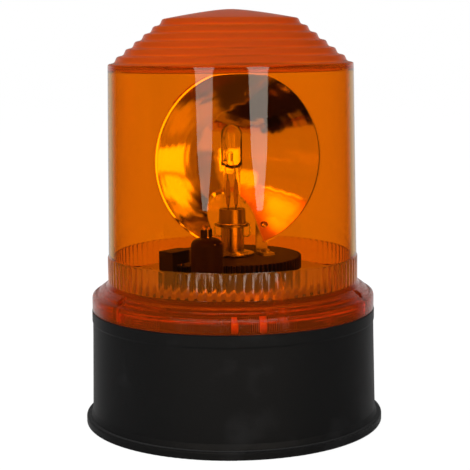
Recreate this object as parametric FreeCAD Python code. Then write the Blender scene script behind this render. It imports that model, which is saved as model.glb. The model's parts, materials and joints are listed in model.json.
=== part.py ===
import FreeCAD, Part
import math
import os

# Rotating beacon: a halogen bulb stands still while a metal bowl turns round it on a gear train,
# under a stepped amber lens on a rubber-booted base.
# Millimetres, +Z up, origin at the centre of the foot's underside.
# An azimuth is in degrees anticlockwise from +X, seen from above. The front is -Y.

# Clearances
PRESS = 0.01
RUN = 0.04
SLIP = 0.1
SCREW_ROOM = 0.05
PASS = 0.4
END_PLAY = 0.05

# Rubber boot
FOOT_SPREAD = 4.45
FOOT_HEIGHT = 4.5
FOOT_EDGE = 1.0
BOOT_SPREAD_LOW = 0.95
BOOT_LOW_Z = 7.5
BOOT_INSET_HIGH = 0.1
BOOT_LIP_SPREAD = 0.25
BOOT_LIP_DEPTH = 5.7
BASE_HEIGHT = 61.2
RUBBER_WALL = 2.4
RUBBER_FLOOR = 3.0
BOOT_SEAL = 3.2
BOOT_SEAL_WIDTH = 5.8
BOOT_FLOOR_WIDTH = 23.0
BEAD_HEIGHT = 0.2
BEAD_INSET = 0.6

# Base housing
HOUSING_WALL = 2.4
HOUSING_FLOOR = 3.0
RIM_HEIGHT = 4.0
RIM_INSET = 1.4

# Bolt holes that fasten the beacon down
BOLT_INSET = 10.0
BOLT_HOLE_RADIUS = 3.3
BOLT_BOSS_RADIUS = 7.4
BOLT_BOSS_HEIGHT = 3.0
BOLT_AZIMUTHS = (36.7, 156.7, 276.7)

# Lens
LENS_WALL = 2.4
FLANGE_WIDTH = 9.0
FLANGE_HEIGHT = 12.6
FLANGE_CORNER_WIDE = 3.0
FLANGE_CORNER_HIGH = 6.0
FLANGE_LEDGE = 1.6
DOME_GAP = 8.6
BAND_RISE = 2.0
BAND_HEIGHT = 13.5
FLUTE_COUNT = 80
FLUTE_DEPTH = 0.5
DOME_INSET = 0.15
DOME_DRAFT = 1.74
DOME_HEIGHT = 100.56
STEP_COUNT = 6
STEP_RUN = 4.785
STEP_RISE = 3.842
RISER_HEIGHT = 3.0
RISER_LEAN = 1.3
STEP_SOFTNESS = 0.9
CONE_HEIGHT = 4.89
CONE_NOSE = 9.0

# Screws that hold the lens
LENS_SCREW_INSET = 5.0
LENS_SCREW_AZIMUTHS = (96.7, 216.7, 336.7)
LENS_SCREW_RADIUS = 1.5
LENS_SCREW_HEAD_RADIUS = 2.4
LENS_SCREW_HEAD_HEIGHT = 2.0
LENS_SCREW_SINK = 6.0
LENS_SCREW_LENGTH = 18.0
LENS_BOSS_RADIUS = 3.6
PILLAR_BOSS_RADIUS = 4.4
RIB_AZIMUTHS = (36.0, 156.0, 276.0)
RIB_SPREAD = 5.5
RIB_THICK = 1.0
RIB_DEPTH = 3.4

# Chassis plate and its pillars
PLATE_Z = 77.0
PLATE_THICK = 2.0
PLATE_EDGE = 1.0
PILLAR_INSET = 8.0
PILLAR_AZIMUTHS = (60.0, 180.0, 300.0)
PILLAR_ACROSS_FLATS = 8.0
PILLAR_SCREW_RADIUS = 2.0
PILLAR_SCREW_DEPTH = 10.0
PILLAR_TAP_DEPTH = 13.0
PAN_HEAD_RADIUS = 3.8
PAN_HEAD_HEIGHT = 2.4
SUNK_HEAD_RADIUS = 3.8

# Stem and what sits on it
STEM_RADIUS = 6.2
STEM_BORE = 3.6
STEM_SOCKET_RADIUS = 5.2
STEM_SOCKET_DEPTH = 8.0
STEM_TOP = 104.2
STEM_TAIL = 12.0
STEM_FLANGE_RADIUS = 9.8
STEM_FLANGE_THICK = 1.6
STEM_NUT_RADIUS = 9.2
STEM_NUT_HEIGHT = 4.0
LOWER_WASHER_THICK = 0.6
UPPER_WASHER_RADIUS = 11.5
UPPER_WASHER_THICK = 0.8
CLIP_RADIUS = 8.4
CLIP_THICK = 0.8
CLIP_GROOVE = 0.5

# Gear train
PRESSURE_ANGLE = math.radians(20)
TOOTH_THINNING = 0.06
WHEEL_TIP = 0.75
PINION_TIP = 1.0
TOOTH_ROOT = 1.25
SLOW_MODULE = 0.8
TURNTABLE_TEETH = 90
IDLER_PINION_TEETH = 14
FAST_MODULE = 0.6
IDLER_WHEEL_TEETH = 48
MOTOR_PINION_TEETH = 12
IDLER_AZIMUTH = -129.0
MOTOR_GAP = 1.4

# Turntable
TURNTABLE_THICK = 6.85
TURNTABLE_WEB = 3.0
TURNTABLE_RIM_INNER = 31.5
TURNTABLE_HUB_RADIUS = 10.2
HUB_EXTRA = 0.5
HUB_BUSH_RADIUS = 7.7
SPOKE_COUNT = 6
SPOKE_THICK = 1.6

# Idler
IDLER_SHAFT_RADIUS = 2.0
IDLER_BUSH_RADIUS = 3.4
IDLER_BUSH_FLANGE = 4.6
IDLER_BUSH_FLANGE_THICK = 1.0
IDLER_WHEEL_DROP = 3.4
IDLER_WHEEL_THICK = 4.4
IDLER_HUB_RADIUS = 4.2
BRIDGE_WIDTH = 9.0
BRIDGE_ARM_THICK = 6.5
BRIDGE_LEG_THICK = 3.4
BRIDGE_LEG_GAP = 1.4
BRIDGE_TOP = 97.0
BRIDGE_ROOF = 1.4
BRIDGE_SCREW_RADIUS = 1.1

# Motor
MOTOR_CAN_RADIUS = 5.9
MOTOR_CAN_HEIGHT = 20.0
MOTOR_CAP_HEIGHT = 2.6
MOTOR_BOSS_RADIUS = 2.5
MOTOR_BOSS_HEIGHT = 1.4
MOTOR_SHAFT_RADIUS = 1.0
MOTOR_SHAFT_TAIL = 3.2
MOTOR_PINION_GAP = 2.4
MOTOR_PINION_THICK = 5.6
MOTOR_SCREW_CIRCLE = 4.3
MOTOR_SCREW_RADIUS = 0.8
MOTOR_SCREW_HEAD_RADIUS = 1.5
MOTOR_SCREW_HEAD_HEIGHT = 1.2
SLEEVE_RADIUS = 8.0
SLEEVE_DOME = 2.0
SLEEVE_ROOF = 0.9
TAG_THICK = 0.4
TAG_WIDTH = 1.4
PIN_RADIUS = 0.5
PIN_SPREAD = 1.5
SUPPRESSOR_WIDE = 5.7
SUPPRESSOR_DEEP = 3.6
SUPPRESSOR_HIGH = 4.3
SOLDER_RADIUS = 0.95

# Bulb
BULB_FLANGE_RADIUS = 8.6
BULB_FLANGE_THICK = 1.0
BULB_COLLAR_RADIUS = 7.3
BULB_COLLAR_TOP_RADIUS = 6.9
BULB_COLLAR_HEIGHT = 8.2
BULB_TAIL_RADIUS = 5.05
BULB_TAIL_LENGTH = 5.2
PINCH_WIDE = 9.0
PINCH_THICK = 3.0
PINCH_SUNK = 6.6
PINCH_HEIGHT = 18.6
CAPSULE_RADIUS = 5.6
CAPSULE_HEIGHT = 26.4
CAPSULE_WALL = 0.9
CAPSULE_CURVE = 4.5
FOCUS_Z = 140.5
FILAMENT_RADIUS = 0.8
FILAMENT_LENGTH = 5.0
FILAMENT_WIRE = 0.25
FILAMENT_SPREAD = 2.4
FILAMENT_CLEAR = 0.55
SPRING_WIRE = 0.5
SPRING_RING = 7.9
SPRING_LEG = 9.4
SPRING_DROP = 5.5

# Lamp connection
INSULATOR_LENGTH = 18.0
CONTACT_PIN_RADIUS = 1.0
CONTACT_HEAD_RADIUS = 2.4
CONTACT_HEAD_THICK = 1.0
LAMP_LEAD_RADIUS = 1.1
THIN_LEAD_RADIUS = 0.7
LEAD_CHANNEL_TURN = 16.0
LEAD_DROP_Z = 56.0
LAMP_LEAD_BENDS = ((0.0, 0.0, 46.0), (-1.0, -15.0, 29.0), (-5.0, -14.0, 13.0))
MOTOR_LEAD_BENDS = (((10.0, -38.0, 34.0), (20.0, -20.0, 16.0)), ((1.0, -41.0, 28.0), (8.0, -24.0, 13.0)))
EARTH_LEAD_BENDS = ((-13.4, -13.0, 48.0), (-19.4, -19.0, 26.0), (-15.0, -17.0, 13.0))
TAG_PLACE = (-11.0, -13.0)
TAG_DROP = 7.0
TAG_RING_RADIUS = 2.8
TAG_EYELET_RADIUS = 1.4

# Reflector
FOCAL_LENGTH = 17.8
RIM_PLANE = 12.6
RIM_STEP = 1.07
REFLECTOR_EDGE = 0.8
REFLECTOR_LIP = 3.4
REFLECTOR_WALL = 1.6
REFLECTOR_AZIMUTH = -68.0
NOTCH_HALF_WIDTH = 13.4
NOTCH_TOP = 121.0

# Reflector brackets, in the reflector's own directions: ahead, and to each side
BRACKET_THICK = 1.2
BRACKET_SIDE = 17.0
BRACKET_WIDE = 6.5
BRACKET_LEG_AHEAD = -1.0
BRACKET_FOOT_LENGTH = 11.0
BRACKET_SCREW_AHEAD = 5.1
BRACKET_SCREW_RADIUS = 1.5
BRACKET_SCREW_HEAD_RADIUS = 2.5
BRACKET_SCREW_HEAD_HEIGHT = 1.8
BRACKET_SCREW_LENGTH = 3.4
SADDLE_BACK = -2.2
SADDLE_FRONT = 7.4
SADDLE_THICK = 1.5
RIVET_AHEAD = 3.6
RIVET_RADIUS = 1.1
RIVET_HEAD_RADIUS = 2.0
RIVET_HEAD_HEIGHT = 0.7

# Cable inlet and terminal block
INLET_Y = 32.0
INLET_HOLE_RADIUS = 7.0
INLET_BORE_RADIUS = 3.5
INLET_LIP = 1.6
INLET_LIP_THICK = 2.0
BLOCK_WAYS = 4
BLOCK_PITCH = 8.0
BLOCK_DEPTH = 12.0
BLOCK_HEIGHT = 11.0
BLOCK_BASE = 3.0
BLOCK_EAR = 6.0
BLOCK_Y = 8.0
BLOCK_WIRE_Z = 5.5
BLOCK_WIRE_RADIUS = 1.5
BLOCK_SCREW_RADIUS = 1.4
BLOCK_SCREW_HEAD = 1.9

# Radii that follow from the gear train outwards
TURNTABLE_TIP = SLOW_MODULE * (TURNTABLE_TEETH / 2 + WHEEL_TIP)
MOTOR_CIRCLE = TURNTABLE_TIP + MOTOR_GAP + SLEEVE_RADIUS
PLATE_RADIUS = MOTOR_CIRCLE + SLEEVE_RADIUS + PLATE_EDGE
PILLAR_CIRCLE = PLATE_RADIUS - PILLAR_INSET
BAND_RADIUS = PLATE_RADIUS + DOME_GAP + LENS_WALL
DOME_RADIUS_LOW = BAND_RADIUS - DOME_INSET
DOME_RADIUS_HIGH = DOME_RADIUS_LOW - DOME_DRAFT
FLANGE_LEDGE_RADIUS = BAND_RADIUS + FLANGE_LEDGE
FLANGE_RADIUS = BAND_RADIUS + FLANGE_WIDTH
LENS_SCREW_CIRCLE = FLANGE_RADIUS - LENS_SCREW_INSET
BOLT_CIRCLE_RADIUS = FLANGE_RADIUS - BOLT_INSET
RIM_RADIUS = FLANGE_RADIUS - RIM_INSET
FOOT_RADIUS = FLANGE_RADIUS + FOOT_SPREAD
BOOT_RADIUS_LOW = FLANGE_RADIUS + BOOT_SPREAD_LOW
BOOT_RADIUS_HIGH = FLANGE_RADIUS - BOOT_INSET_HIGH
BOOT_LIP_RADIUS = FLANGE_RADIUS + BOOT_LIP_SPREAD
BOOT_SEAL_INNER = FLANGE_RADIUS - BOOT_SEAL_WIDTH
BOOT_FLOOR_BORE = FLANGE_RADIUS - BOOT_FLOOR_WIDTH

# Sizes that follow from the ones above
BOOT_LIP_Z = BASE_HEIGHT - BOOT_LIP_DEPTH
RIM_TOP = BASE_HEIGHT - BOOT_SEAL
RIM_Z = RIM_TOP - RIM_HEIGHT
HOUSING_RADIUS_LOW = BOOT_RADIUS_LOW - RUBBER_WALL
HOUSING_RADIUS_HIGH = BOOT_RADIUS_HIGH - RUBBER_WALL
FLOOR_Z = RUBBER_FLOOR
FLOOR_TOP = FLOOR_Z + HOUSING_FLOOR
LENS_Z = BASE_HEIGHT + BEAD_HEIGHT
FLANGE_TOP = LENS_Z + FLANGE_HEIGHT
BAND_Z = FLANGE_TOP + BAND_RISE
BAND_TOP = BAND_Z + BAND_HEIGHT
DOME_TOP = BAND_TOP + DOME_HEIGHT
PLATE_TOP = PLATE_Z + PLATE_THICK
SCREW_SEAT = FLANGE_TOP - LENS_SCREW_SINK
SLOW_PITCH = SLOW_MODULE * TURNTABLE_TEETH / 2
IDLER_CIRCLE = SLOW_PITCH + SLOW_MODULE * IDLER_PINION_TEETH / 2
BRIDGE_LEG_RADIUS = IDLER_CIRCLE + SLOW_MODULE * (IDLER_PINION_TEETH / 2 + PINION_TIP) + BRIDGE_LEG_GAP
FAST_CENTRES = FAST_MODULE * (IDLER_WHEEL_TEETH + MOTOR_PINION_TEETH) / 2
HUB_Z = PLATE_TOP + STEM_FLANGE_THICK + LOWER_WASHER_THICK + END_PLAY
TURNTABLE_Z = HUB_Z + HUB_EXTRA
TURNTABLE_TOP = TURNTABLE_Z + TURNTABLE_THICK
HUB_TOP = TURNTABLE_TOP + HUB_EXTRA
UPPER_WASHER_Z = HUB_TOP + END_PLAY
CLIP_Z = UPPER_WASHER_Z + UPPER_WASHER_THICK
SLEEVE_TOP = PLATE_TOP + MOTOR_CAN_HEIGHT + MOTOR_CAP_HEIGHT + TAG_THICK + SLEEVE_DOME + SLEEVE_ROOF
IDLER_WHEEL_TOP = PLATE_Z - IDLER_WHEEL_DROP
IDLER_WHEEL_Z = IDLER_WHEEL_TOP - IDLER_WHEEL_THICK
MOTOR_PINION_TOP = PLATE_Z - MOTOR_PINION_GAP
SOCKET_Z = STEM_TOP - STEM_SOCKET_DEPTH
CONTACT_TOP = STEM_TOP - BULB_TAIL_LENGTH
CONTACT_HEAD_Z = CONTACT_TOP - CONTACT_HEAD_THICK
LEAD_TOP = CONTACT_HEAD_Z - 8.0
REFLECTOR_RADIUS = REFLECTOR_EDGE + math.sqrt(4 * FOCAL_LENGTH * (RIM_PLANE - RIM_STEP + FOCAL_LENGTH))

ORIGIN = FreeCAD.Vector(0, 0, 0)
UP = FreeCAD.Vector(0, 0, 1)
AHEAD = FreeCAD.Vector(1, 0, 0)
SIDE = FreeCAD.Vector(0, 1, 0)


def polar(radius, azimuth):
    """X and Y of a point on a circle about the Z axis."""
    angle = math.radians(azimuth)
    return radius * math.cos(angle), radius * math.sin(angle)


IDLER_AT = polar(IDLER_CIRCLE, IDLER_AZIMUTH)
MOTOR_TURN = math.degrees(math.acos(
    (MOTOR_CIRCLE ** 2 + IDLER_CIRCLE ** 2 - FAST_CENTRES ** 2) / (2 * MOTOR_CIRCLE * IDLER_CIRCLE)))
MOTOR_AZIMUTH = IDLER_AZIMUTH + MOTOR_TURN
MOTOR_AT = polar(MOTOR_CIRCLE, MOTOR_AZIMUTH)
TO_MOTOR = math.degrees(math.atan2(MOTOR_AT[1] - IDLER_AT[1], MOTOR_AT[0] - IDLER_AT[0]))


def disc(radius, low, high, at=(0, 0)):
    """Upright cylinder between two heights."""
    return Part.makeCylinder(radius, high - low, FreeCAD.Vector(at[0], at[1], low))


def ring(outer, inner, low, high, at=(0, 0)):
    """Upright tube between two heights."""
    return disc(outer, low, high, at).cut(disc(inner, low, high, at))


def block(x_size, y_size, low, high, at=(0, 0)):
    """Box centred on a point, between two heights."""
    corner = FreeCAD.Vector(at[0] - x_size / 2, at[1] - y_size / 2, low)
    return Part.makeBox(x_size, y_size, high - low, corner)


def prism(across_flats, low, high, at=(0, 0)):
    """Upright hexagonal bar."""
    radius = across_flats / math.sqrt(3)
    corners = [polar(radius, 60 * k) for k in range(7)]
    points = [FreeCAD.Vector(at[0] + x, at[1] + y, low) for x, y in corners]
    return Part.Face(Part.makePolygon(points)).extrude(UP * (high - low))


def arc(through, to):
    """Step of a profile: an arc through a point."""
    return lambda here: (Part.Arc(upright(here), upright(through), upright(to)).toShape(), to)


def crown(control, to):
    """Step of a profile: a curve pulled towards a control point, for caps and softened corners."""
    def edge(here):
        curve = Part.BezierCurve()
        curve.setPoles([upright(here), upright(control), upright(to)])
        return curve.toShape(), to
    return edge


def towards(start, end, reach):
    """Point at a given distance from start on the way to end."""
    share = reach / math.dist(start, end)
    return tuple(a + (b - a) * share for a, b in zip(start, end))


def softened(points, reach):
    """Profile steps through points, with each corner between the two ends rounded off.

    A rounding starts and ends at the given reach from its corner, on both of the corner's sides.
    """
    steps = []
    for before, corner, after in zip(points, points[1:], points[2:]):
        steps.append(towards(corner, before, reach))
        steps.append(crown(corner, towards(corner, after, reach)))
    return steps


def upright(point):
    """Radius and height as a vector in the XZ plane."""
    return FreeCAD.Vector(point[0], 0, point[1])


def profile(start, *steps):
    """Closed face of radius and height. Each step is a point, an arc or a crown."""
    edges = []
    here = start
    for step in steps:
        if callable(step):
            edge, here = step(here)
            edges.append(edge)
        else:
            edges.append(Part.makeLine(upright(here), upright(step)))
            here = step
    edges.append(Part.makeLine(upright(here), upright(start)))
    return Part.Face(Part.Wire(edges))


def turned(face):
    """Solid of revolution about the Z axis."""
    return face.revolve(ORIGIN, UP, 360)


def spun(shape, azimuth):
    """Copy of a shape, turned about the Z axis."""
    copy = shape.copy()
    copy.rotate(ORIGIN, UP, azimuth)
    return copy


def around(shape, azimuths):
    """Copies of a shape made at azimuth 0, one at each azimuth."""
    return [spun(shape, azimuth) for azimuth in azimuths]


def moved(shape, x, y, z=0):
    """Copy of a shape, shifted."""
    copy = shape.copy()
    copy.translate(FreeCAD.Vector(x, y, z))
    return copy


def fused(first, others):
    """One solid out of a shape and those that meet it."""
    return first.multiFuse(list(others)).removeSplitter()


def drilled(shape, holes):
    """A shape with each of the holes cut out."""
    return shape.cut(Part.makeCompound(list(holes)))


def group(solids):
    """Separate solids that share a node."""
    return Part.makeCompound(list(solids))


def pan_screw(radius, head_radius, head_height, length, seat, at=(0, 0)):
    """Screw that points down, with a slot across its rounded head."""
    edge = head_height * 0.55
    head = turned(profile((0, 0), (head_radius, 0), (head_radius, edge),
                          crown((head_radius * 0.6, head_height), (0, head_height))))
    slot = block(2 * head_radius, head_radius * 0.32, head_height * 0.5, head_height)
    screw = fused(head, [disc(radius, -length, 0)]).cut(slot)
    return moved(screw, at[0], at[1], seat)


def upside_down(shape, z):
    """Copy of a shape, turned over about a level line at a height."""
    copy = shape.copy()
    copy.rotate(FreeCAD.Vector(0, 0, z), AHEAD, 180)
    return copy


def wire_along(points, radius):
    """Round wire through points: straight runs joined by arcs as large as the runs allow."""
    vectors = [FreeCAD.Vector(*point) for point in points]
    edges = []
    here = vectors[0]
    for before, corner, after in zip(vectors, vectors[1:], vectors[2:]):
        into = (corner - before).normalize()
        out = (after - corner).normalize()
        half_turn = into.getAngle(out) / 2
        reach = 0.45 * min((corner - before).Length, (after - corner).Length)
        bend = reach / math.tan(half_turn)
        print(f"bend radius {bend:.1f} on a wire of radius {radius}")
        start = corner - into * reach
        end = corner + out * reach
        inward = (out - into).normalize()
        centre = corner + inward * (bend / math.cos(half_turn))
        middle = centre - inward * bend
        edges.append(Part.LineSegment(here, start).toShape())
        edges.append(Part.Arc(start, middle, end).toShape())
        here = end
    edges.append(Part.LineSegment(here, vectors[-1]).toShape())
    path = Part.Wire(edges)
    first = (vectors[1] - vectors[0]).normalize()
    section = Part.Wire(Part.makeCircle(radius, vectors[0], first))
    return path.makePipeShell([section], True, False, 2)


def involute(radius, base):
    """Polar angle that an involute has swept when it reaches a radius."""
    slant = math.acos(min(1.0, base / radius))
    return math.tan(slant) - slant


def gear(module, teeth, tip_factor, facing, low, high, on_tooth=True, at=(0, 0)):
    """Spur gear of involute teeth. A tooth, or else a gap, is centred on the facing azimuth."""
    pitch = module * teeth / 2
    base = pitch * math.cos(PRESSURE_ANGLE)
    tip = pitch + tip_factor * module
    root = pitch - TOOTH_ROOT * module
    foot = max(root, base)
    step = 2 * math.pi / teeth
    at_pitch = step / 4 - TOOTH_THINNING / (2 * pitch) + involute(pitch, base)

    def half(radius):
        return at_pitch - involute(radius, base)

    def point(radius, angle):
        return FreeCAD.Vector(at[0] + radius * math.cos(angle), at[1] + radius * math.sin(angle), low)

    middle = (foot + tip) / 2
    first = math.radians(facing) + (0 if on_tooth else step / 2)
    edges = []
    for k in range(teeth):
        centre = first + k * step
        rise = [point(r, centre - half(r)) for r in (foot, middle, tip)]
        fall = [point(r, centre + half(r)) for r in (tip, middle, foot)]
        if root < foot:
            edges.append(Part.makeLine(point(root, centre - half(foot)), rise[0]))
        edges.append(Part.Arc(*rise).toShape())
        edges.append(Part.Arc(rise[2], point(tip, centre), fall[0]).toShape())
        edges.append(Part.Arc(*fall).toShape())
        if root < foot:
            edges.append(Part.makeLine(fall[2], point(root, centre + half(foot))))
        gap_start = point(root, centre + half(foot))
        gap_end = point(root, centre + step - half(foot))
        edges.append(Part.Arc(gap_start, point(root, centre + step / 2), gap_end).toShape())
    return Part.Face(Part.Wire(edges)).extrude(UP * (high - low))


def housing_radius(z):
    """Outer radius of the housing wall, which follows the boot's taper."""
    share = (z - BOOT_LOW_Z) / (BOOT_LIP_Z - BOOT_LOW_Z)
    return HOUSING_RADIUS_LOW + share * (HOUSING_RADIUS_HIGH - HOUSING_RADIUS_LOW)


def bolt_holes():
    """Clearance holes for the bolts, through the boot's floor and the housing's."""
    hole = disc(BOLT_HOLE_RADIUS, 0, FLOOR_TOP + BOLT_BOSS_HEIGHT, (BOLT_CIRCLE_RADIUS, 0))
    return around(hole, BOLT_AZIMUTHS)


def rubber_boot():
    """Boot with a foot lip, a floor ring under the housing and a seal lip over the housing's rim."""
    bead_out = BOOT_LIP_RADIUS - BEAD_INSET
    bead_in = FLANGE_RADIUS - LENS_WALL - BEAD_INSET
    rim_room = RIM_RADIUS + SLIP
    low_room = housing_radius(FLOOR_Z) + SLIP
    high_room = housing_radius(RIM_Z) + SLIP
    edge = FOOT_EDGE * (1 - math.sqrt(0.5))
    body = turned(profile(
        (BOOT_FLOOR_BORE, 0),
        (FOOT_RADIUS - FOOT_EDGE, 0),
        arc((FOOT_RADIUS - edge, edge), (FOOT_RADIUS, FOOT_EDGE)),
        (FOOT_RADIUS, FOOT_HEIGHT - FOOT_EDGE),
        arc((FOOT_RADIUS - edge, FOOT_HEIGHT - edge), (FOOT_RADIUS - FOOT_EDGE, FOOT_HEIGHT)),
        (BOOT_RADIUS_LOW + FOOT_EDGE, FOOT_HEIGHT),
        (BOOT_RADIUS_LOW, BOOT_LOW_Z),
        (BOOT_RADIUS_HIGH, BOOT_LIP_Z - FOOT_EDGE),
        (BOOT_LIP_RADIUS, BOOT_LIP_Z),
        (BOOT_LIP_RADIUS, BASE_HEIGHT - BEAD_INSET),
        (bead_out, BASE_HEIGHT),
        (bead_out, LENS_Z),
        (bead_in, LENS_Z),
        (bead_in, BASE_HEIGHT),
        (BOOT_SEAL_INNER, BASE_HEIGHT),
        (BOOT_SEAL_INNER, RIM_TOP),
        (rim_room, RIM_TOP),
        (rim_room, RIM_Z),
        (high_room, RIM_Z),
        (low_room, FLOOR_Z),
        (BOOT_FLOOR_BORE, FLOOR_Z)))
    tab = disc(LENS_BOSS_RADIUS + BEAD_INSET, RIM_TOP, LENS_Z, (LENS_SCREW_CIRCLE, 0))
    body = fused(body, around(tab, LENS_SCREW_AZIMUTHS))
    screw_hole = disc(LENS_SCREW_RADIUS + PASS, RIM_TOP, LENS_Z, (LENS_SCREW_CIRCLE, 0))
    return drilled(body, around(screw_hole, LENS_SCREW_AZIMUTHS) + bolt_holes())


def base_housing():
    """Moulded cup with a rim, pillars for the lens screws and bosses for the bolts."""
    inner_low = housing_radius(FLOOR_TOP) - HOUSING_WALL
    inner_high = housing_radius(RIM_TOP) - HOUSING_WALL
    cup = turned(profile(
        (0, FLOOR_Z),
        (housing_radius(FLOOR_Z), FLOOR_Z),
        (housing_radius(RIM_Z), RIM_Z),
        (RIM_RADIUS, RIM_Z),
        (RIM_RADIUS, RIM_TOP),
        (inner_high, RIM_TOP),
        (inner_low, FLOOR_TOP),
        (0, FLOOR_TOP)))
    outside = disc(housing_radius(RIM_Z) - SLIP, FLOOR_Z, RIM_TOP)
    screw_post = disc(PILLAR_BOSS_RADIUS, FLOOR_Z, RIM_TOP, (LENS_SCREW_CIRCLE, 0)).common(outside)
    bolt_boss = disc(BOLT_BOSS_RADIUS, FLOOR_Z, FLOOR_TOP + BOLT_BOSS_HEIGHT, (BOLT_CIRCLE_RADIUS, 0))
    pillar_seat = disc(PILLAR_ACROSS_FLATS * 0.8, FLOOR_TOP, FLOOR_TOP + PASS, (PILLAR_CIRCLE, 0))
    added = around(screw_post, LENS_SCREW_AZIMUTHS)
    added += around(bolt_boss.common(outside), BOLT_AZIMUTHS)
    added += around(pillar_seat, PILLAR_AZIMUTHS)
    cup = fused(cup, added)
    thread = disc(LENS_SCREW_RADIUS + SCREW_ROOM, SCREW_SEAT - LENS_SCREW_LENGTH - 1, RIM_TOP,
                  (LENS_SCREW_CIRCLE, 0))
    holes = around(thread, LENS_SCREW_AZIMUTHS) + bolt_holes()
    holes += around(pillar_screw_hole(), PILLAR_AZIMUTHS)
    holes.append(disc(INLET_HOLE_RADIUS, FLOOR_Z, FLOOR_TOP, (0, INLET_Y)))
    for x in block_screw_places():
        holes.append(disc(BLOCK_SCREW_RADIUS + SCREW_ROOM, FLOOR_Z, FLOOR_TOP, (x, BLOCK_Y)))
    return drilled(cup, holes)


def pillar_screw_hole():
    """Countersunk hole in the housing's floor for the screw that holds a pillar."""
    sunk = SUNK_HEAD_RADIUS - PILLAR_SCREW_RADIUS
    room = PILLAR_SCREW_RADIUS + SCREW_ROOM
    hole = turned(profile(
        (0, FLOOR_Z),
        (SUNK_HEAD_RADIUS + SCREW_ROOM, FLOOR_Z),
        (room, FLOOR_Z + sunk),
        (room, FLOOR_TOP + PASS),
        (0, FLOOR_TOP + PASS)))
    return moved(hole, PILLAR_CIRCLE, 0)


def pillar_screws():
    """Countersunk screws from below, one into each pillar."""
    sunk = SUNK_HEAD_RADIUS - PILLAR_SCREW_RADIUS
    reach = FLOOR_TOP + PASS + PILLAR_SCREW_DEPTH
    screw = turned(profile(
        (0, FLOOR_Z),
        (SUNK_HEAD_RADIUS, FLOOR_Z),
        (PILLAR_SCREW_RADIUS, FLOOR_Z + sunk),
        (PILLAR_SCREW_RADIUS, reach),
        (0, reach)))
    slot = block(2 * SUNK_HEAD_RADIUS, 1.0, FLOOR_Z, FLOOR_Z + sunk / 2)
    screw = moved(screw.cut(slot), PILLAR_CIRCLE, 0)
    return group(around(screw, PILLAR_AZIMUTHS))


def chassis_pillars():
    """Hexagonal spacers between the housing's floor and the chassis plate, tapped at both ends."""
    at = (PILLAR_CIRCLE, 0)
    foot = FLOOR_TOP + PASS
    room = PILLAR_SCREW_RADIUS + SCREW_ROOM
    pillar = prism(PILLAR_ACROSS_FLATS, foot, PLATE_Z, at)
    taps = [disc(room, foot, foot + PILLAR_TAP_DEPTH, at), disc(room, PLATE_Z - PILLAR_TAP_DEPTH, PLATE_Z, at)]
    return group(around(drilled(pillar, taps), PILLAR_AZIMUTHS))


def chassis_screws():
    """Pan-head screws that clamp the chassis plate on its pillars."""
    length = PLATE_THICK + PILLAR_SCREW_DEPTH
    screw = pan_screw(PILLAR_SCREW_RADIUS, PAN_HEAD_RADIUS, PAN_HEAD_HEIGHT, length, PLATE_TOP,
                      (PILLAR_CIRCLE, 0))
    return group(around(screw, PILLAR_AZIMUTHS))


def motor_screw_places():
    """Places of the two motor screws, either side of the shaft."""
    dx, dy = polar(MOTOR_SCREW_CIRCLE, TO_MOTOR + 90)
    return [(MOTOR_AT[0] + sign * dx, MOTOR_AT[1] + sign * dy) for sign in (1, -1)]


def motor_lead_places():
    """Places of the two motor leads, in the sleeve on the side away from the idler."""
    reach = (MOTOR_CAN_RADIUS + SLEEVE_RADIUS) / 2
    places = [polar(reach, TO_MOTOR + turn) for turn in (LEAD_CHANNEL_TURN, -LEAD_CHANNEL_TURN)]
    return [(MOTOR_AT[0] + x, MOTOR_AT[1] + y) for x, y in places]


def bridge_screw_places():
    """Places of the two screws under the bridge's leg."""
    middle = BRIDGE_LEG_RADIUS + BRIDGE_LEG_THICK / 2
    across = BRIDGE_WIDTH / 2 - 2
    angle = math.radians(IDLER_AZIMUTH)
    out = (math.cos(angle), math.sin(angle))
    return [(middle * out[0] - sign * across * out[1], middle * out[1] + sign * across * out[0])
            for sign in (1, -1)]


def chassis_plate():
    """Round steel plate that carries the motor, the idler and the stem, with a turned-down edge."""
    edge = turned(profile(
        (PLATE_RADIUS - PLATE_THICK, PLATE_Z - PLATE_THICK),
        (PLATE_RADIUS, PLATE_Z - PLATE_THICK),
        (PLATE_RADIUS, PLATE_TOP - FOOT_EDGE),
        (PLATE_RADIUS - FOOT_EDGE, PLATE_TOP),
        (0, PLATE_TOP),
        (0, PLATE_Z),
        (PLATE_RADIUS - PLATE_THICK, PLATE_Z)))
    under = PLATE_Z - PLATE_THICK
    holes = [disc(STEM_RADIUS + SLIP, under, PLATE_TOP)]
    holes += around(disc(PILLAR_SCREW_RADIUS + SLIP, under, PLATE_TOP, (PILLAR_CIRCLE, 0)), PILLAR_AZIMUTHS)
    holes.append(disc(IDLER_BUSH_RADIUS + PRESS, under, PLATE_TOP, IDLER_AT))
    holes.append(disc(MOTOR_BOSS_RADIUS + SLIP, under, PLATE_TOP, MOTOR_AT))
    holes += [disc(MOTOR_SCREW_RADIUS + SLIP, under, PLATE_TOP, at) for at in motor_screw_places()]
    holes += [disc(THIN_LEAD_RADIUS + SLIP, under, PLATE_TOP, at) for at in motor_lead_places()]
    holes += [disc(BRIDGE_SCREW_RADIUS + SLIP, under, PLATE_TOP, at) for at in bridge_screw_places()]
    holes.append(disc(TAG_EYELET_RADIUS + SLIP, under, PLATE_TOP, TAG_PLACE))
    return drilled(edge, holes)


def lens_steps(inward, downward):
    """Points of the stepped top, from its lowest corner to the cone's foot."""
    points = []
    for k in range(STEP_COUNT + 1):
        corner_radius = DOME_RADIUS_HIGH - k * STEP_RUN - inward
        corner_z = DOME_TOP + k * STEP_RISE - downward
        if k:
            points.append((corner_radius + RISER_LEAN, corner_z - RISER_HEIGHT))
        points.append((corner_radius, corner_z))
    return points


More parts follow.
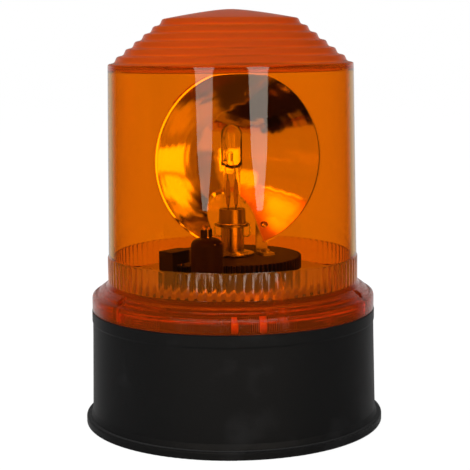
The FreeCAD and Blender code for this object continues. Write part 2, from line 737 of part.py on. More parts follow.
def lens():
    """Amber lens: skirt, flange, fluted band, drafted wall, steps and cone, all of one wall."""
    inward = LENS_WALL * 0.8
    outer_steps = lens_steps(0, 0)
    inner_steps = lens_steps(inward, LENS_WALL)[::-1]
    wall_foot = (DOME_RADIUS_LOW, BAND_TOP + FLUTE_DEPTH)
    cone_foot = outer_steps[-1]
    inner_foot = inner_steps[0]
    apex = cone_foot[1] + CONE_HEIGHT
    corner_foot = FLANGE_TOP - FLANGE_CORNER_HIGH
    inner_corner = FLANGE_CORNER_WIDE
    skirt_inner = FLANGE_RADIUS - LENS_WALL
    under = FLANGE_TOP - LENS_WALL
    shell = turned(profile(
        (FLANGE_RADIUS, LENS_Z),
        (FLANGE_RADIUS, corner_foot),
        arc((FLANGE_RADIUS - FLANGE_CORNER_WIDE * 0.18, corner_foot + FLANGE_CORNER_HIGH * 0.6),
            (FLANGE_RADIUS - FLANGE_CORNER_WIDE, FLANGE_TOP)),
        (FLANGE_LEDGE_RADIUS, FLANGE_TOP),
        (BAND_RADIUS, BAND_Z),
        (BAND_RADIUS, BAND_TOP),
        wall_foot,
        *softened([wall_foot, *outer_steps, (CONE_NOSE, apex)], STEP_SOFTNESS),
        crown((CONE_NOSE, apex), (0, apex)),
        (0, apex - LENS_WALL),
        crown((CONE_NOSE, apex - LENS_WALL), inner_foot),
        *inner_steps[1:],
        (DOME_RADIUS_LOW - LENS_WALL, BAND_TOP),
        (DOME_RADIUS_LOW - LENS_WALL, under),
        (skirt_inner - inner_corner, under),
        (skirt_inner, under - inner_corner),
        (skirt_inner, LENS_Z)))
    boss = disc(LENS_BOSS_RADIUS, LENS_Z, FLANGE_TOP - LENS_WALL / 2, (LENS_SCREW_CIRCLE, 0))
    rib = block(RIB_DEPTH, RIB_THICK, LENS_Z, FLANGE_TOP - LENS_WALL / 2,
                (skirt_inner + LENS_WALL / 2 - RIB_DEPTH / 2, 0))
    ribs = [azimuth + sign * RIB_SPREAD for azimuth in RIB_AZIMUTHS for sign in (1, -1)]
    shell = fused(shell, [flutes()] + around(boss, LENS_SCREW_AZIMUTHS) + around(rib, ribs))
    at = (LENS_SCREW_CIRCLE, 0)
    head_hole = disc(LENS_SCREW_HEAD_RADIUS + SLIP, SCREW_SEAT, FLANGE_TOP, at)
    hole = disc(LENS_SCREW_RADIUS + SLIP, LENS_Z, SCREW_SEAT, at)
    cuts = around(head_hole, LENS_SCREW_AZIMUTHS) + around(hole, LENS_SCREW_AZIMUTHS)
    return drilled(shell, cuts)


def flutes():
    """Ring of rounded upright flutes round the foot of the dome."""
    step = 360 / FLUTE_COUNT
    edges = []
    for k in range(FLUTE_COUNT):
        ends = [polar(BAND_RADIUS, (k + side) * step) for side in (0, 1)]
        crest = polar(BAND_RADIUS + FLUTE_DEPTH, (k + 0.5) * step)
        start, through, end = [FreeCAD.Vector(x, y, BAND_Z) for x, y in (ends[0], crest, ends[1])]
        edges.append(Part.Arc(start, through, end).toShape())
    band = Part.Face(Part.Wire(edges)).extrude(UP * BAND_HEIGHT)
    return band.cut(disc(BAND_RADIUS - LENS_WALL / 2, BAND_Z, BAND_TOP))


def lens_screws():
    """Screws that hold the lens to the housing, sunk in the flange."""
    screw = pan_screw(LENS_SCREW_RADIUS, LENS_SCREW_HEAD_RADIUS, LENS_SCREW_HEAD_HEIGHT,
                      LENS_SCREW_LENGTH, SCREW_SEAT, (LENS_SCREW_CIRCLE, 0))
    return group(around(screw, LENS_SCREW_AZIMUTHS))


def bulb_stem():
    """Fixed tube on the chassis plate. The turntable runs on it and the bulb sits in its top."""
    flange_top = PLATE_TOP + STEM_FLANGE_THICK
    body = turned(profile(
        (STEM_BORE, PLATE_Z - STEM_TAIL),
        (STEM_RADIUS, PLATE_Z - STEM_TAIL),
        (STEM_RADIUS, PLATE_TOP),
        (STEM_FLANGE_RADIUS, PLATE_TOP),
        (STEM_FLANGE_RADIUS, flange_top),
        (STEM_RADIUS, flange_top),
        (STEM_RADIUS, CLIP_Z),
        (STEM_RADIUS - CLIP_GROOVE, CLIP_Z),
        (STEM_RADIUS - CLIP_GROOVE, CLIP_Z + CLIP_THICK + RUN),
        (STEM_RADIUS, CLIP_Z + CLIP_THICK + RUN),
        (STEM_RADIUS, STEM_TOP),
        (STEM_SOCKET_RADIUS, STEM_TOP),
        (STEM_SOCKET_RADIUS, SOCKET_Z),
        (STEM_BORE, SOCKET_Z)))
    catch = block(2 * STEM_RADIUS, 2 * (SPRING_WIRE + SLIP), spring_foot() - SPRING_WIRE - SLIP,
                  spring_foot() + SPRING_WIRE + SLIP, (STEM_RADIUS + STEM_SOCKET_RADIUS + SLIP, 0))
    return drilled(body, around(catch, (0, 180)))


def spring_foot():
    """Height of the bulb spring's hooks."""
    return STEM_TOP - SPRING_DROP


def stem_nut():
    """Nut that clamps the stem's flange to the plate from below."""
    nut = prism(STEM_NUT_RADIUS * math.sqrt(3), PLATE_Z - STEM_NUT_HEIGHT, PLATE_Z)
    return nut.cut(disc(STEM_RADIUS + RUN, PLATE_Z - STEM_NUT_HEIGHT, PLATE_Z))


def thrust_washers():
    """Washers below and above the turntable's hub."""
    low = PLATE_TOP + STEM_FLANGE_THICK
    lower = ring(STEM_FLANGE_RADIUS, STEM_RADIUS + RUN, low, low + LOWER_WASHER_THICK)
    upper = ring(UPPER_WASHER_RADIUS, STEM_RADIUS + RUN, UPPER_WASHER_Z, CLIP_Z)
    return group([lower, upper])


def retaining_clip():
    """Open snap ring in the stem's groove."""
    bore = STEM_RADIUS - CLIP_GROOVE + RUN
    body = ring(CLIP_RADIUS, bore, CLIP_Z, CLIP_Z + CLIP_THICK)
    mouth = block(CLIP_RADIUS, bore * 1.2, CLIP_Z, CLIP_Z + CLIP_THICK, (CLIP_RADIUS / 2, 0))
    return spun(body.cut(mouth), -REFLECTOR_AZIMUTH)


def turntable_gear():
    """Large gear that carries the reflector: toothed rim, thin web, spokes and hub."""
    body = gear(SLOW_MODULE, TURNTABLE_TEETH, WHEEL_TIP, IDLER_AZIMUTH, TURNTABLE_Z, TURNTABLE_TOP)
    web_z = TURNTABLE_TOP - TURNTABLE_WEB
    body = body.cut(ring(TURNTABLE_RIM_INNER, TURNTABLE_HUB_RADIUS, TURNTABLE_Z, web_z))
    reach = TURNTABLE_RIM_INNER - TURNTABLE_HUB_RADIUS + 1
    spoke = block(reach, SPOKE_THICK, TURNTABLE_Z + 1, web_z,
                  ((TURNTABLE_RIM_INNER + TURNTABLE_HUB_RADIUS) / 2, 0))
    spokes = around(spoke, [REFLECTOR_AZIMUTH + 360 * k / SPOKE_COUNT for k in range(SPOKE_COUNT)])
    body = fused(body, [disc(TURNTABLE_HUB_RADIUS, HUB_Z, HUB_TOP)] + spokes)
    holes = [disc(HUB_BUSH_RADIUS + PRESS, HUB_Z, HUB_TOP)]
    holes += [disc(BRACKET_SCREW_RADIUS + SCREW_ROOM, TURNTABLE_Z, TURNTABLE_TOP, at)
              for at in bracket_screw_places()]
    return drilled(body, holes)


def hub_bush():
    """Bronze bush pressed in the turntable, running on the stem."""
    return ring(HUB_BUSH_RADIUS, STEM_RADIUS + RUN, HUB_Z, HUB_TOP)


def bowl_radius(ahead, wall=0.0):
    """Radius of the bowl, or of its back, at a distance ahead of the focus."""
    return math.sqrt(4 * FOCAL_LENGTH * (ahead + FOCAL_LENGTH + wall))


def bowl_edge(radius, back):
    """Parabola from the bowl's apex out to a radius, shifted backwards."""
    apex = -FOCAL_LENGTH - back
    depth = radius ** 2 / (4 * FOCAL_LENGTH)
    curve = Part.BezierCurve()
    curve.setPoles([
        FreeCAD.Vector(apex, 0, FOCUS_Z),
        FreeCAD.Vector(apex, 0, FOCUS_Z + radius / 2),
        FreeCAD.Vector(apex + depth, 0, FOCUS_Z + radius)])
    return curve.toShape(), FreeCAD.Vector(apex + depth, 0, FOCUS_Z + radius)


def bowl_solid(edges):
    """Solid turned about the bowl's own level axis, facing azimuth 0."""
    return Part.Face(Part.Wire(edges)).revolve(FreeCAD.Vector(0, 0, FOCUS_Z), AHEAD, 360)


def lines(points):
    """Straight edges through points."""
    return [Part.makeLine(a, b) for a, b in zip(points, points[1:])]


def rivet_frame(side):
    """Place of a rivet on the back of the bowl and the direction out of the bowl there."""
    radius = bowl_radius(RIVET_AHEAD, REFLECTOR_WALL)
    drop = -math.sqrt(radius ** 2 - side ** 2)
    place = FreeCAD.Vector(RIVET_AHEAD, side, FOCUS_Z + drop)
    outward = FreeCAD.Vector(-2 * FOCAL_LENGTH, side, drop)
    return place, outward.normalize()


def rivet_wall():
    """Thickness of a wall at the rivets for each millimetre along the bowl's axis."""
    return 2 * FOCAL_LENGTH / math.hypot(2 * FOCAL_LENGTH, bowl_radius(RIVET_AHEAD, REFLECTOR_WALL))


def along_rivet(face, side):
    """Solid turned about Z, laid along a rivet's direction with its zero on the bowl's back."""
    place, outward = rivet_frame(side)
    shape = turned(face)
    shape.Placement = FreeCAD.Placement(place, FreeCAD.Rotation(UP, outward))
    return shape


def rivet_holes():
    """Holes for the rivets through the bowl and the saddles."""
    reach = 4.0
    face = profile((0, -reach), (RIVET_RADIUS + RUN, -reach), (RIVET_RADIUS + RUN, reach), (0, reach))
    return [along_rivet(face, side) for side in (BRACKET_SIDE, -BRACKET_SIDE)]


def reflector_rivets():
    """Rivets that hold the bowl to the bracket saddles."""
    inside = -REFLECTOR_WALL * rivet_wall() - SLIP
    outside = SADDLE_THICK * rivet_wall() + SLIP
    bulge = RIVET_HEAD_RADIUS * 0.7
    face = profile(
        (0, inside - RIVET_HEAD_HEIGHT),
        crown((bulge, inside - RIVET_HEAD_HEIGHT), (RIVET_HEAD_RADIUS, inside)),
        (RIVET_RADIUS, inside),
        (RIVET_RADIUS, outside),
        (RIVET_HEAD_RADIUS, outside),
        crown((bulge, outside + RIVET_HEAD_HEIGHT), (0, outside + RIVET_HEAD_HEIGHT)))
    rivets = [along_rivet(face, side) for side in (BRACKET_SIDE, -BRACKET_SIDE)]
    return group(spun(rivet, REFLECTOR_AZIMUTH) for rivet in rivets)


def reflector():
    """Deep parabolic bowl with a lip round its rim and a notch below for the bulb."""
    edge_radius = REFLECTOR_RADIUS - REFLECTOR_EDGE
    band = RIM_PLANE - REFLECTOR_LIP
    inner, inner_end = bowl_edge(edge_radius, 0)
    outer, outer_end = bowl_edge(bowl_radius(band, REFLECTOR_WALL), REFLECTOR_WALL)
    rim = [
        outer_end,
        FreeCAD.Vector(band, 0, FOCUS_Z + REFLECTOR_RADIUS),
        FreeCAD.Vector(RIM_PLANE, 0, FOCUS_Z + REFLECTOR_RADIUS),
        FreeCAD.Vector(RIM_PLANE, 0, FOCUS_Z + edge_radius),
        inner_end]
    axis = Part.makeLine(inner.valueAt(inner.FirstParameter), outer.valueAt(outer.FirstParameter))
    bowl = bowl_solid([outer] + lines(rim) + [inner, axis])
    low = FOCUS_Z - REFLECTOR_RADIUS - 1
    notch = [disc(NOTCH_HALF_WIDTH, low, NOTCH_TOP),
             block(2 * RIM_PLANE, 2 * NOTCH_HALF_WIDTH, low, NOTCH_TOP, (RIM_PLANE, 0))]
    return spun(drilled(bowl, notch + rivet_holes()), REFLECTOR_AZIMUTH)


def bracket_screw_places():
    """Places of the screws that hold the brackets to the turntable."""
    angle = math.radians(REFLECTOR_AZIMUTH)
    places = []
    for side in (BRACKET_SIDE, -BRACKET_SIDE):
        places.append((BRACKET_SCREW_AHEAD * math.cos(angle) - side * math.sin(angle),
                       BRACKET_SCREW_AHEAD * math.sin(angle) + side * math.cos(angle)))
    return places


def reflector_brackets():
    """Pair of bent strips: a foot on the turntable, a leg and a saddle under the bowl."""
    far = SADDLE_FRONT + 2
    backs = []
    for back in (REFLECTOR_WALL, REFLECTOR_WALL + SADDLE_THICK):
        edge, end = bowl_edge(bowl_radius(far, back), back)
        closing = [end, FreeCAD.Vector(far, 0, FOCUS_Z), edge.valueAt(edge.FirstParameter)]
        backs.append(bowl_solid([edge] + lines(closing)))
    skin = backs[1].cut(backs[0])
    brackets = []
    for side in (BRACKET_SIDE, -BRACKET_SIDE):
        middle = (SADDLE_BACK + SADDLE_FRONT) / 2
        patch = skin.common(block(SADDLE_FRONT - SADDLE_BACK, BRACKET_WIDE, TURNTABLE_TOP, FOCUS_Z,
                                  (middle, side)))
        leg = block(BRACKET_THICK, BRACKET_WIDE, TURNTABLE_TOP, FOCUS_Z,
                    (BRACKET_LEG_AHEAD + BRACKET_THICK / 2, side)).cut(backs[0])
        foot = block(BRACKET_FOOT_LENGTH, BRACKET_WIDE, TURNTABLE_TOP, TURNTABLE_TOP + BRACKET_THICK,
                     (BRACKET_LEG_AHEAD + BRACKET_FOOT_LENGTH / 2, side))
        hole = disc(BRACKET_SCREW_RADIUS + SLIP, TURNTABLE_TOP, TURNTABLE_TOP + BRACKET_THICK,
                    (BRACKET_SCREW_AHEAD, side))
        body = fused(patch, [leg, foot]).cut(hole)
        brackets.append(spun(drilled(body, rivet_holes()), REFLECTOR_AZIMUTH))
    return group(brackets)


def bracket_screws():
    """Screws through the bracket feet into the turntable."""
    seat = TURNTABLE_TOP + BRACKET_THICK
    length = BRACKET_THICK + BRACKET_SCREW_LENGTH
    return group(pan_screw(BRACKET_SCREW_RADIUS, BRACKET_SCREW_HEAD_RADIUS, BRACKET_SCREW_HEAD_HEIGHT,
                           length, seat, at) for at in bracket_screw_places())


def idler_shaft():
    """Spindle through the bush, with the wheel below the plate and the pinion above it."""
    return disc(IDLER_SHAFT_RADIUS, IDLER_WHEEL_Z - 1, BRIDGE_TOP - BRIDGE_ROOF - SLIP, IDLER_AT)


def idler_bush():
    """Flanged bush pressed in the plate, for the idler shaft."""
    tube = ring(IDLER_BUSH_RADIUS, IDLER_SHAFT_RADIUS + RUN, PLATE_Z - 1, PLATE_TOP, IDLER_AT)
    flange = ring(IDLER_BUSH_FLANGE, IDLER_SHAFT_RADIUS + RUN, PLATE_TOP,
                  PLATE_TOP + IDLER_BUSH_FLANGE_THICK, IDLER_AT)
    return fused(tube, [flange])


def idler_wheel():
    """Wheel driven by the motor pinion, with a hub that runs up to the bush."""
    body = gear(FAST_MODULE, IDLER_WHEEL_TEETH, WHEEL_TIP, TO_MOTOR, IDLER_WHEEL_Z, IDLER_WHEEL_TOP,
                at=IDLER_AT)
    pitch = FAST_MODULE * IDLER_WHEEL_TEETH / 2
    recess = ring(pitch - 3, IDLER_HUB_RADIUS + 1, IDLER_WHEEL_Z, IDLER_WHEEL_Z + 1.4, IDLER_AT)
    hub = disc(IDLER_HUB_RADIUS, IDLER_WHEEL_TOP, PLATE_Z - 1 - END_PLAY, IDLER_AT)
    body = fused(body.cut(recess), [hub])
    return body.cut(disc(IDLER_SHAFT_RADIUS + PRESS, IDLER_WHEEL_Z, PLATE_Z, IDLER_AT))


def idler_pinion():
    """Pinion that drives the turntable, on the idler shaft above the plate."""
    body = gear(SLOW_MODULE, IDLER_PINION_TEETH, PINION_TIP, IDLER_AZIMUTH + 180, TURNTABLE_Z,
                TURNTABLE_TOP, on_tooth=False, at=IDLER_AT)
    low = PLATE_TOP + IDLER_BUSH_FLANGE_THICK + END_PLAY
    hub = disc(IDLER_HUB_RADIUS, low, TURNTABLE_Z, IDLER_AT)
    return fused(body, [hub]).cut(disc(IDLER_SHAFT_RADIUS + PRESS, low, TURNTABLE_TOP, IDLER_AT))


def idler_bridge():
    """Moulded arch over the idler pinion with the shaft's top bearing."""
    arm_z = BRIDGE_TOP - BRIDGE_ARM_THICK
    out = BRIDGE_LEG_RADIUS + BRIDGE_LEG_THICK
    arm = block(out - IDLER_CIRCLE, BRIDGE_WIDTH, arm_z, BRIDGE_TOP, ((out + IDLER_CIRCLE) / 2, 0))
    nose = disc(BRIDGE_WIDTH / 2, arm_z, BRIDGE_TOP, (IDLER_CIRCLE, 0))
    leg = block(BRIDGE_LEG_THICK, BRIDGE_WIDTH, PLATE_TOP, BRIDGE_TOP,
                (BRIDGE_LEG_RADIUS + BRIDGE_LEG_THICK / 2, 0))
    body = spun(fused(arm, [nose, leg]), IDLER_AZIMUTH)
    body = body.cut(disc(IDLER_SHAFT_RADIUS + RUN, arm_z, BRIDGE_TOP - BRIDGE_ROOF, IDLER_AT))
    return drilled(body, [disc(BRIDGE_SCREW_RADIUS + SCREW_ROOM, PLATE_TOP, PLATE_TOP + 8, at)
                          for at in bridge_screw_places()])


def bridge_screws():
    """Screws from below the plate into the bridge's leg."""
    screws = []
    for at in bridge_screw_places():
        screw = pan_screw(BRIDGE_SCREW_RADIUS, BRIDGE_SCREW_RADIUS * 1.6, 1.2, PLATE_THICK + 6, PLATE_Z)
        screws.append(moved(upside_down(screw, PLATE_Z), at[0], at[1]))
    return group(screws)


def motor_can():
    """Plated motor can with its bearing boss through the chassis plate."""
    top = PLATE_TOP + MOTOR_CAN_HEIGHT
    can = disc(MOTOR_CAN_RADIUS, PLATE_TOP, top, MOTOR_AT)
    can = can.makeFillet(0.8, [edge for edge in can.Edges if abs(edge.BoundBox.ZMin - top) < PRESS
                               and edge.BoundBox.ZLength < PRESS])
    body = fused(can, [disc(MOTOR_BOSS_RADIUS, PLATE_TOP - MOTOR_BOSS_HEIGHT, PLATE_TOP, MOTOR_AT)])
    holes = [disc(MOTOR_SHAFT_RADIUS + RUN, PLATE_TOP - MOTOR_BOSS_HEIGHT, top, MOTOR_AT)]
    holes += [disc(MOTOR_SCREW_RADIUS + SCREW_ROOM, PLATE_TOP, PLATE_TOP + 4, at)
              for at in motor_screw_places()]
    return drilled(body, holes)


def motor_screws():
    """Small screws from below the plate into the motor's face."""
    screws = []
    for at in motor_screw_places():
        screw = pan_screw(MOTOR_SCREW_RADIUS, MOTOR_SCREW_HEAD_RADIUS, MOTOR_SCREW_HEAD_HEIGHT,
                          PLATE_THICK + 3, PLATE_Z)
        screws.append(moved(upside_down(screw, PLATE_Z), at[0], at[1]))
    return group(screws)


def motor_end_cap():
    """Plastic cap on the motor that carries its brushes, closed over the shaft's end."""
    low = PLATE_TOP + MOTOR_CAN_HEIGHT
    body = disc(MOTOR_CAN_RADIUS - 0.5, low, low + MOTOR_CAP_HEIGHT, MOTOR_AT)
    return body.cut(disc(MOTOR_SHAFT_RADIUS + RUN, low, low + MOTOR_CAP_HEIGHT - 1, MOTOR_AT))


def motor_shaft():
    """Motor spindle, from the end cap down through the pinion."""
    low = MOTOR_PINION_TOP - MOTOR_PINION_THICK - 0.8
    return disc(MOTOR_SHAFT_RADIUS, low, PLATE_TOP + MOTOR_CAN_HEIGHT + 1, MOTOR_AT)


def motor_pinion():
    """Pinion on the motor shaft below the plate."""
    low = MOTOR_PINION_TOP - MOTOR_PINION_THICK
    body = gear(FAST_MODULE, MOTOR_PINION_TEETH, PINION_TIP, TO_MOTOR + 180, low, MOTOR_PINION_TOP,
                on_tooth=False, at=MOTOR_AT)
    return body.cut(disc(MOTOR_SHAFT_RADIUS + PRESS, low, MOTOR_PINION_TOP, MOTOR_AT))


def pin_places():
    """Places of the two terminal pins on top of the motor."""
    dx, dy = polar(PIN_SPREAD, TO_MOTOR + 90)
    return [(MOTOR_AT[0] + dx, MOTOR_AT[1] + dy), (MOTOR_AT[0] - dx, MOTOR_AT[1] - dy)]


def motor_sleeve():
    """Rubber sleeve over the motor, domed on top, with channels inside for the leads."""
    shoulder = SLEEVE_TOP - SLEEVE_DOME - SLEEVE_ROOF
    inner = MOTOR_CAN_RADIUS + SLIP
    outside = turned(profile(
        (0, PLATE_TOP),
        (SLEEVE_RADIUS, PLATE_TOP),
        (SLEEVE_RADIUS, shoulder - 2),
        crown((SLEEVE_RADIUS, SLEEVE_TOP), (0, SLEEVE_TOP))))
    body = moved(outside, *MOTOR_AT)
    ceiling = shoulder + SLIP
    holes = [disc(inner, PLATE_TOP, ceiling, MOTOR_AT)]
    holes += [disc(THIN_LEAD_RADIUS + SLIP, PLATE_TOP, ceiling, at) for at in motor_lead_places()]
    holes += [disc(PIN_RADIUS + SLIP, shoulder, SLEEVE_TOP, at) for at in pin_places()]
    strip_z = shoulder - TAG_THICK
    holes += [tag_strip(lead, pin, SLIP, strip_z - SLIP, ceiling)
              for lead, pin in zip(motor_lead_places(), pin_places())]
    seat = spun(block(SUPPRESSOR_DEEP, SUPPRESSOR_WIDE, SLEEVE_TOP - 0.5, SLEEVE_TOP + 1), TO_MOTOR)
    holes.append(moved(seat, *MOTOR_AT))
    return drilled(body, holes)


def tag_strip(lead, pin, room, low, high):
    """Straight strip from a terminal pin to its lead, or the room for it."""
    length = math.hypot(lead[0] - pin[0], lead[1] - pin[1])
    azimuth = math.degrees(math.atan2(lead[1] - pin[1], lead[0] - pin[0]))
    strip = block(length, TAG_WIDTH + 2 * room, low, high, (length / 2, 0))
    return moved(spun(strip, azimuth), *pin)


def motor_terminals():
    """Strips from the leads across the end cap, each with a pin up through the suppressor."""
    low = PLATE_TOP + MOTOR_CAN_HEIGHT + MOTOR_CAP_HEIGHT
    top = SLEEVE_TOP - 0.5 + SUPPRESSOR_HIGH
    terminals = []
    for lead, pin in zip(motor_lead_places(), pin_places()):
        strip = tag_strip(lead, pin, 0, low, low + TAG_THICK)
        bead = moved(Part.makeSphere(SOLDER_RADIUS, ORIGIN, UP, 0, 90, 360), pin[0], pin[1], top)
        terminals.append(fused(strip, [disc(PIN_RADIUS, low, top, pin), bead,
                                       disc(THIN_LEAD_RADIUS, low, low + TAG_THICK, lead)]))
    return group(terminals)


def suppressor():
    """Small moulded capacitor across the motor's terminals."""
    low = SLEEVE_TOP - 0.5
    body = block(SUPPRESSOR_DEEP, SUPPRESSOR_WIDE, low, low + SUPPRESSOR_HIGH)
    upright = [edge for edge in body.Edges if edge.BoundBox.ZLength > 1]
    body = moved(spun(body.makeFillet(0.5, upright), TO_MOTOR), *MOTOR_AT)
    return drilled(body, [disc(PIN_RADIUS + SLIP, low, low + SUPPRESSOR_HIGH, at) for at in pin_places()])


def bulb_cap():
    """Metal cap of the bulb: tail in the stem, flange on its rim, slotted collar for the pinch."""
    flange_top = STEM_TOP + BULB_FLANGE_THICK
    collar_top = flange_top + BULB_COLLAR_HEIGHT
    body = turned(profile(
        (0, CONTACT_TOP),
        (BULB_TAIL_RADIUS, CONTACT_TOP),
        (BULB_TAIL_RADIUS, STEM_TOP),
        (BULB_FLANGE_RADIUS, STEM_TOP),
        (BULB_FLANGE_RADIUS, flange_top),
        (BULB_COLLAR_RADIUS, flange_top),
        (BULB_COLLAR_TOP_RADIUS, collar_top),
        (0, collar_top)))
    slot = block(PINCH_WIDE + 2 * RUN, PINCH_THICK + 2 * RUN, collar_top - PINCH_SUNK, collar_top)
    return body.cut(slot)


def bulb_glass():
    """Quartz capsule on its flat pinch, hollow round the filament."""
    pinch_z = STEM_TOP + BULB_FLANGE_THICK + BULB_COLLAR_HEIGHT - PINCH_SUNK
    capsule_z = pinch_z + PINCH_SUNK + PINCH_HEIGHT
    tip = capsule_z + CAPSULE_HEIGHT
    curve = CAPSULE_CURVE

    def capsule(radius, low, high):
        return turned(profile(
            (0, low),
            crown((radius, low), (radius, low + curve)),
            (radius, high - curve - 1.5),
            crown((radius, high - curve * 0.2), (0, high))))

    pinch = block(PINCH_WIDE, PINCH_THICK, pinch_z, capsule_z + curve / 2)
    upright = [edge for edge in pinch.Edges if edge.BoundBox.ZLength > 1]
    body = fused(capsule(CAPSULE_RADIUS, capsule_z, tip), [pinch.makeFillet(1.2, upright)])
    inside = CAPSULE_RADIUS - CAPSULE_WALL
    return body.cut(capsule(inside, capsule_z + curve / 2 + CAPSULE_WALL, tip - CAPSULE_WALL))


def bulb_filament():
    """Coil at the bowl's focus on two support wires from the pinch."""
    pinch_top = STEM_TOP + BULB_FLANGE_THICK + BULB_COLLAR_HEIGHT + PINCH_HEIGHT
    foot = pinch_top + CAPSULE_CURVE / 2 + CAPSULE_WALL + FILAMENT_CLEAR
    low = FOCUS_Z - FILAMENT_LENGTH / 2
    high = FOCUS_Z + FILAMENT_LENGTH / 2
    coil = ring(FILAMENT_RADIUS, FILAMENT_RADIUS - FILAMENT_WIRE, low, high)
    short = disc(FILAMENT_WIRE, foot, low + FILAMENT_WIRE, (FILAMENT_RADIUS, 0))
    far = -FILAMENT_SPREAD
    tall = disc(FILAMENT_WIRE, foot, high, (far, 0))
    over = block(FILAMENT_RADIUS - far, 2 * FILAMENT_WIRE, high - FILAMENT_WIRE, high + FILAMENT_WIRE,
                 ((far - FILAMENT_RADIUS) / 2 + FILAMENT_WIRE, 0))
    return fused(coil, [short, tall, over])


def bulb_spring():
    """Wire spring over the bulb's flange, hooked into the stem on both sides."""
    flange_top = STEM_TOP + BULB_FLANGE_THICK
    ring_z = flange_top + SPRING_WIRE
    hoop = Part.makeTorus(SPRING_RING, SPRING_WIRE, FreeCAD.Vector(0, 0, ring_z), UP)
    leg = wire_along([
        (STEM_SOCKET_RADIUS + SLIP + SPRING_WIRE, 0, spring_foot()),
        (SPRING_LEG, 0, spring_foot()),
        (SPRING_LEG, 0, ring_z),
        (SPRING_RING, 0, ring_z)], SPRING_WIRE)
    return fused(hoop, around(leg, (0, 180)))


def bulb_insulator():
    """Tube that keeps the lamp contact off the stem."""
    high = CONTACT_HEAD_Z
    low = high - INSULATOR_LENGTH
    body = ring(STEM_BORE - RUN, LAMP_LEAD_RADIUS + RUN, low, SOCKET_Z)
    cup = ring(STEM_SOCKET_RADIUS - RUN, LAMP_LEAD_RADIUS + RUN, SOCKET_Z, high)
    return fused(body, [cup])


def bulb_contact():
    """Brass contact under the bulb's tail, on the end of the lamp lead."""
    head = disc(CONTACT_HEAD_RADIUS, CONTACT_HEAD_Z, CONTACT_TOP)
    return fused(head, [disc(CONTACT_PIN_RADIUS, LEAD_TOP, CONTACT_HEAD_Z)])


def block_ways():
    """X of each way of the terminal block."""
    return [(k - (BLOCK_WAYS - 1) / 2) * BLOCK_PITCH for k in range(BLOCK_WAYS)]


def block_screw_places():
    """X of the two screws that hold the terminal block."""
    reach = BLOCK_WAYS * BLOCK_PITCH / 2 + BLOCK_EAR / 2
    return [reach, -reach]


def terminal_block():
    """Moulded block with a raised barrel for each way and an ear at each end."""
    width = BLOCK_WAYS * BLOCK_PITCH
    low = FLOOR_TOP
    high = low + BLOCK_HEIGHT
    base = block(width + 2 * BLOCK_EAR, BLOCK_DEPTH * 0.7, low, low + BLOCK_BASE, (0, BLOCK_Y))
    barrels = []
    for x in block_ways():
        barrels.append(block(BLOCK_PITCH - 1.2, BLOCK_DEPTH, low, high, (x, BLOCK_Y)))
    ribs = block(width - BLOCK_PITCH, BLOCK_DEPTH * 0.6, low, high - 2, (0, BLOCK_Y))
    body = fused(base, barrels + [ribs])
    wire_z = low + BLOCK_WIRE_Z
    holes = []
    for x in block_ways():
        start = FreeCAD.Vector(x, BLOCK_Y - BLOCK_DEPTH / 2, wire_z)
        holes.append(Part.makeCylinder(BLOCK_WIRE_RADIUS, BLOCK_DEPTH, start, SIDE))
        holes.append(disc(BLOCK_SCREW_HEAD + SLIP, wire_z, high, (x, BLOCK_Y)))
    for x in block_screw_places():
        holes.append(disc(BLOCK_SCREW_RADIUS + SLIP, low, low + BLOCK_BASE, (x, BLOCK_Y)))
    return drilled(body, holes)


def terminal_screws():
    """Brass screws down the barrels, one over each wire."""
    high = FLOOR_TOP + BLOCK_HEIGHT
    low = FLOOR_TOP + BLOCK_WIRE_Z + LAMP_LEAD_RADIUS + SLIP
    screws = []
    for x in block_ways():
        body = disc(BLOCK_SCREW_HEAD, low + 1, high - 1, (x, BLOCK_Y))
        tip = disc(BLOCK_SCREW_HEAD - 1, low, low + 1, (x, BLOCK_Y))
        slot = block(2 * BLOCK_SCREW_HEAD, 0.6, high - 1.8, high - 1, (x, BLOCK_Y))
        screws.append(fused(body, [tip]).cut(slot))
    return group(screws)


def block_screws():
    """Screws that hold the terminal block to the housing's floor."""
    seat = FLOOR_TOP + BLOCK_BASE
    length = BLOCK_BASE + HOUSING_FLOOR - 0.5
    return group(pan_screw(BLOCK_SCREW_RADIUS, BLOCK_SCREW_RADIUS * 1.8, 1.6, length, seat, (x, BLOCK_Y))
                 for x in block_screw_places())


def cable_grommet():
    """Rubber grommet snapped in the floor, open for a supply cable."""
    waist = INLET_HOLE_RADIUS - RUN
    lip = INLET_HOLE_RADIUS + INLET_LIP
    top = FLOOR_TOP + INLET_LIP_THICK
    body = turned(profile(
        (INLET_BORE_RADIUS, FLOOR_Z - INLET_LIP_THICK),
        (waist, FLOOR_Z - INLET_LIP_THICK),
        (lip, FLOOR_Z - INLET_LIP_THICK / 2),
        (lip, FLOOR_Z),
        (waist, FLOOR_Z),
        (waist, FLOOR_TOP),
        (lip, FLOOR_TOP),
        (lip, FLOOR_TOP + INLET_LIP_THICK / 2),
        (INLET_BORE_RADIUS + 1.4, top + 3),
        (INLET_BORE_RADIUS, top + 3)))
    return moved(body, 0, INLET_Y)


def lamp_lead():
    """Lead from the lamp contact down the stem to the terminal block."""
    end = (block_ways()[1], BLOCK_Y - 3, FLOOR_TOP + BLOCK_WIRE_Z)
    return wire_along([(0, 0, LEAD_TOP), *LAMP_LEAD_BENDS, end], LAMP_LEAD_RADIUS)


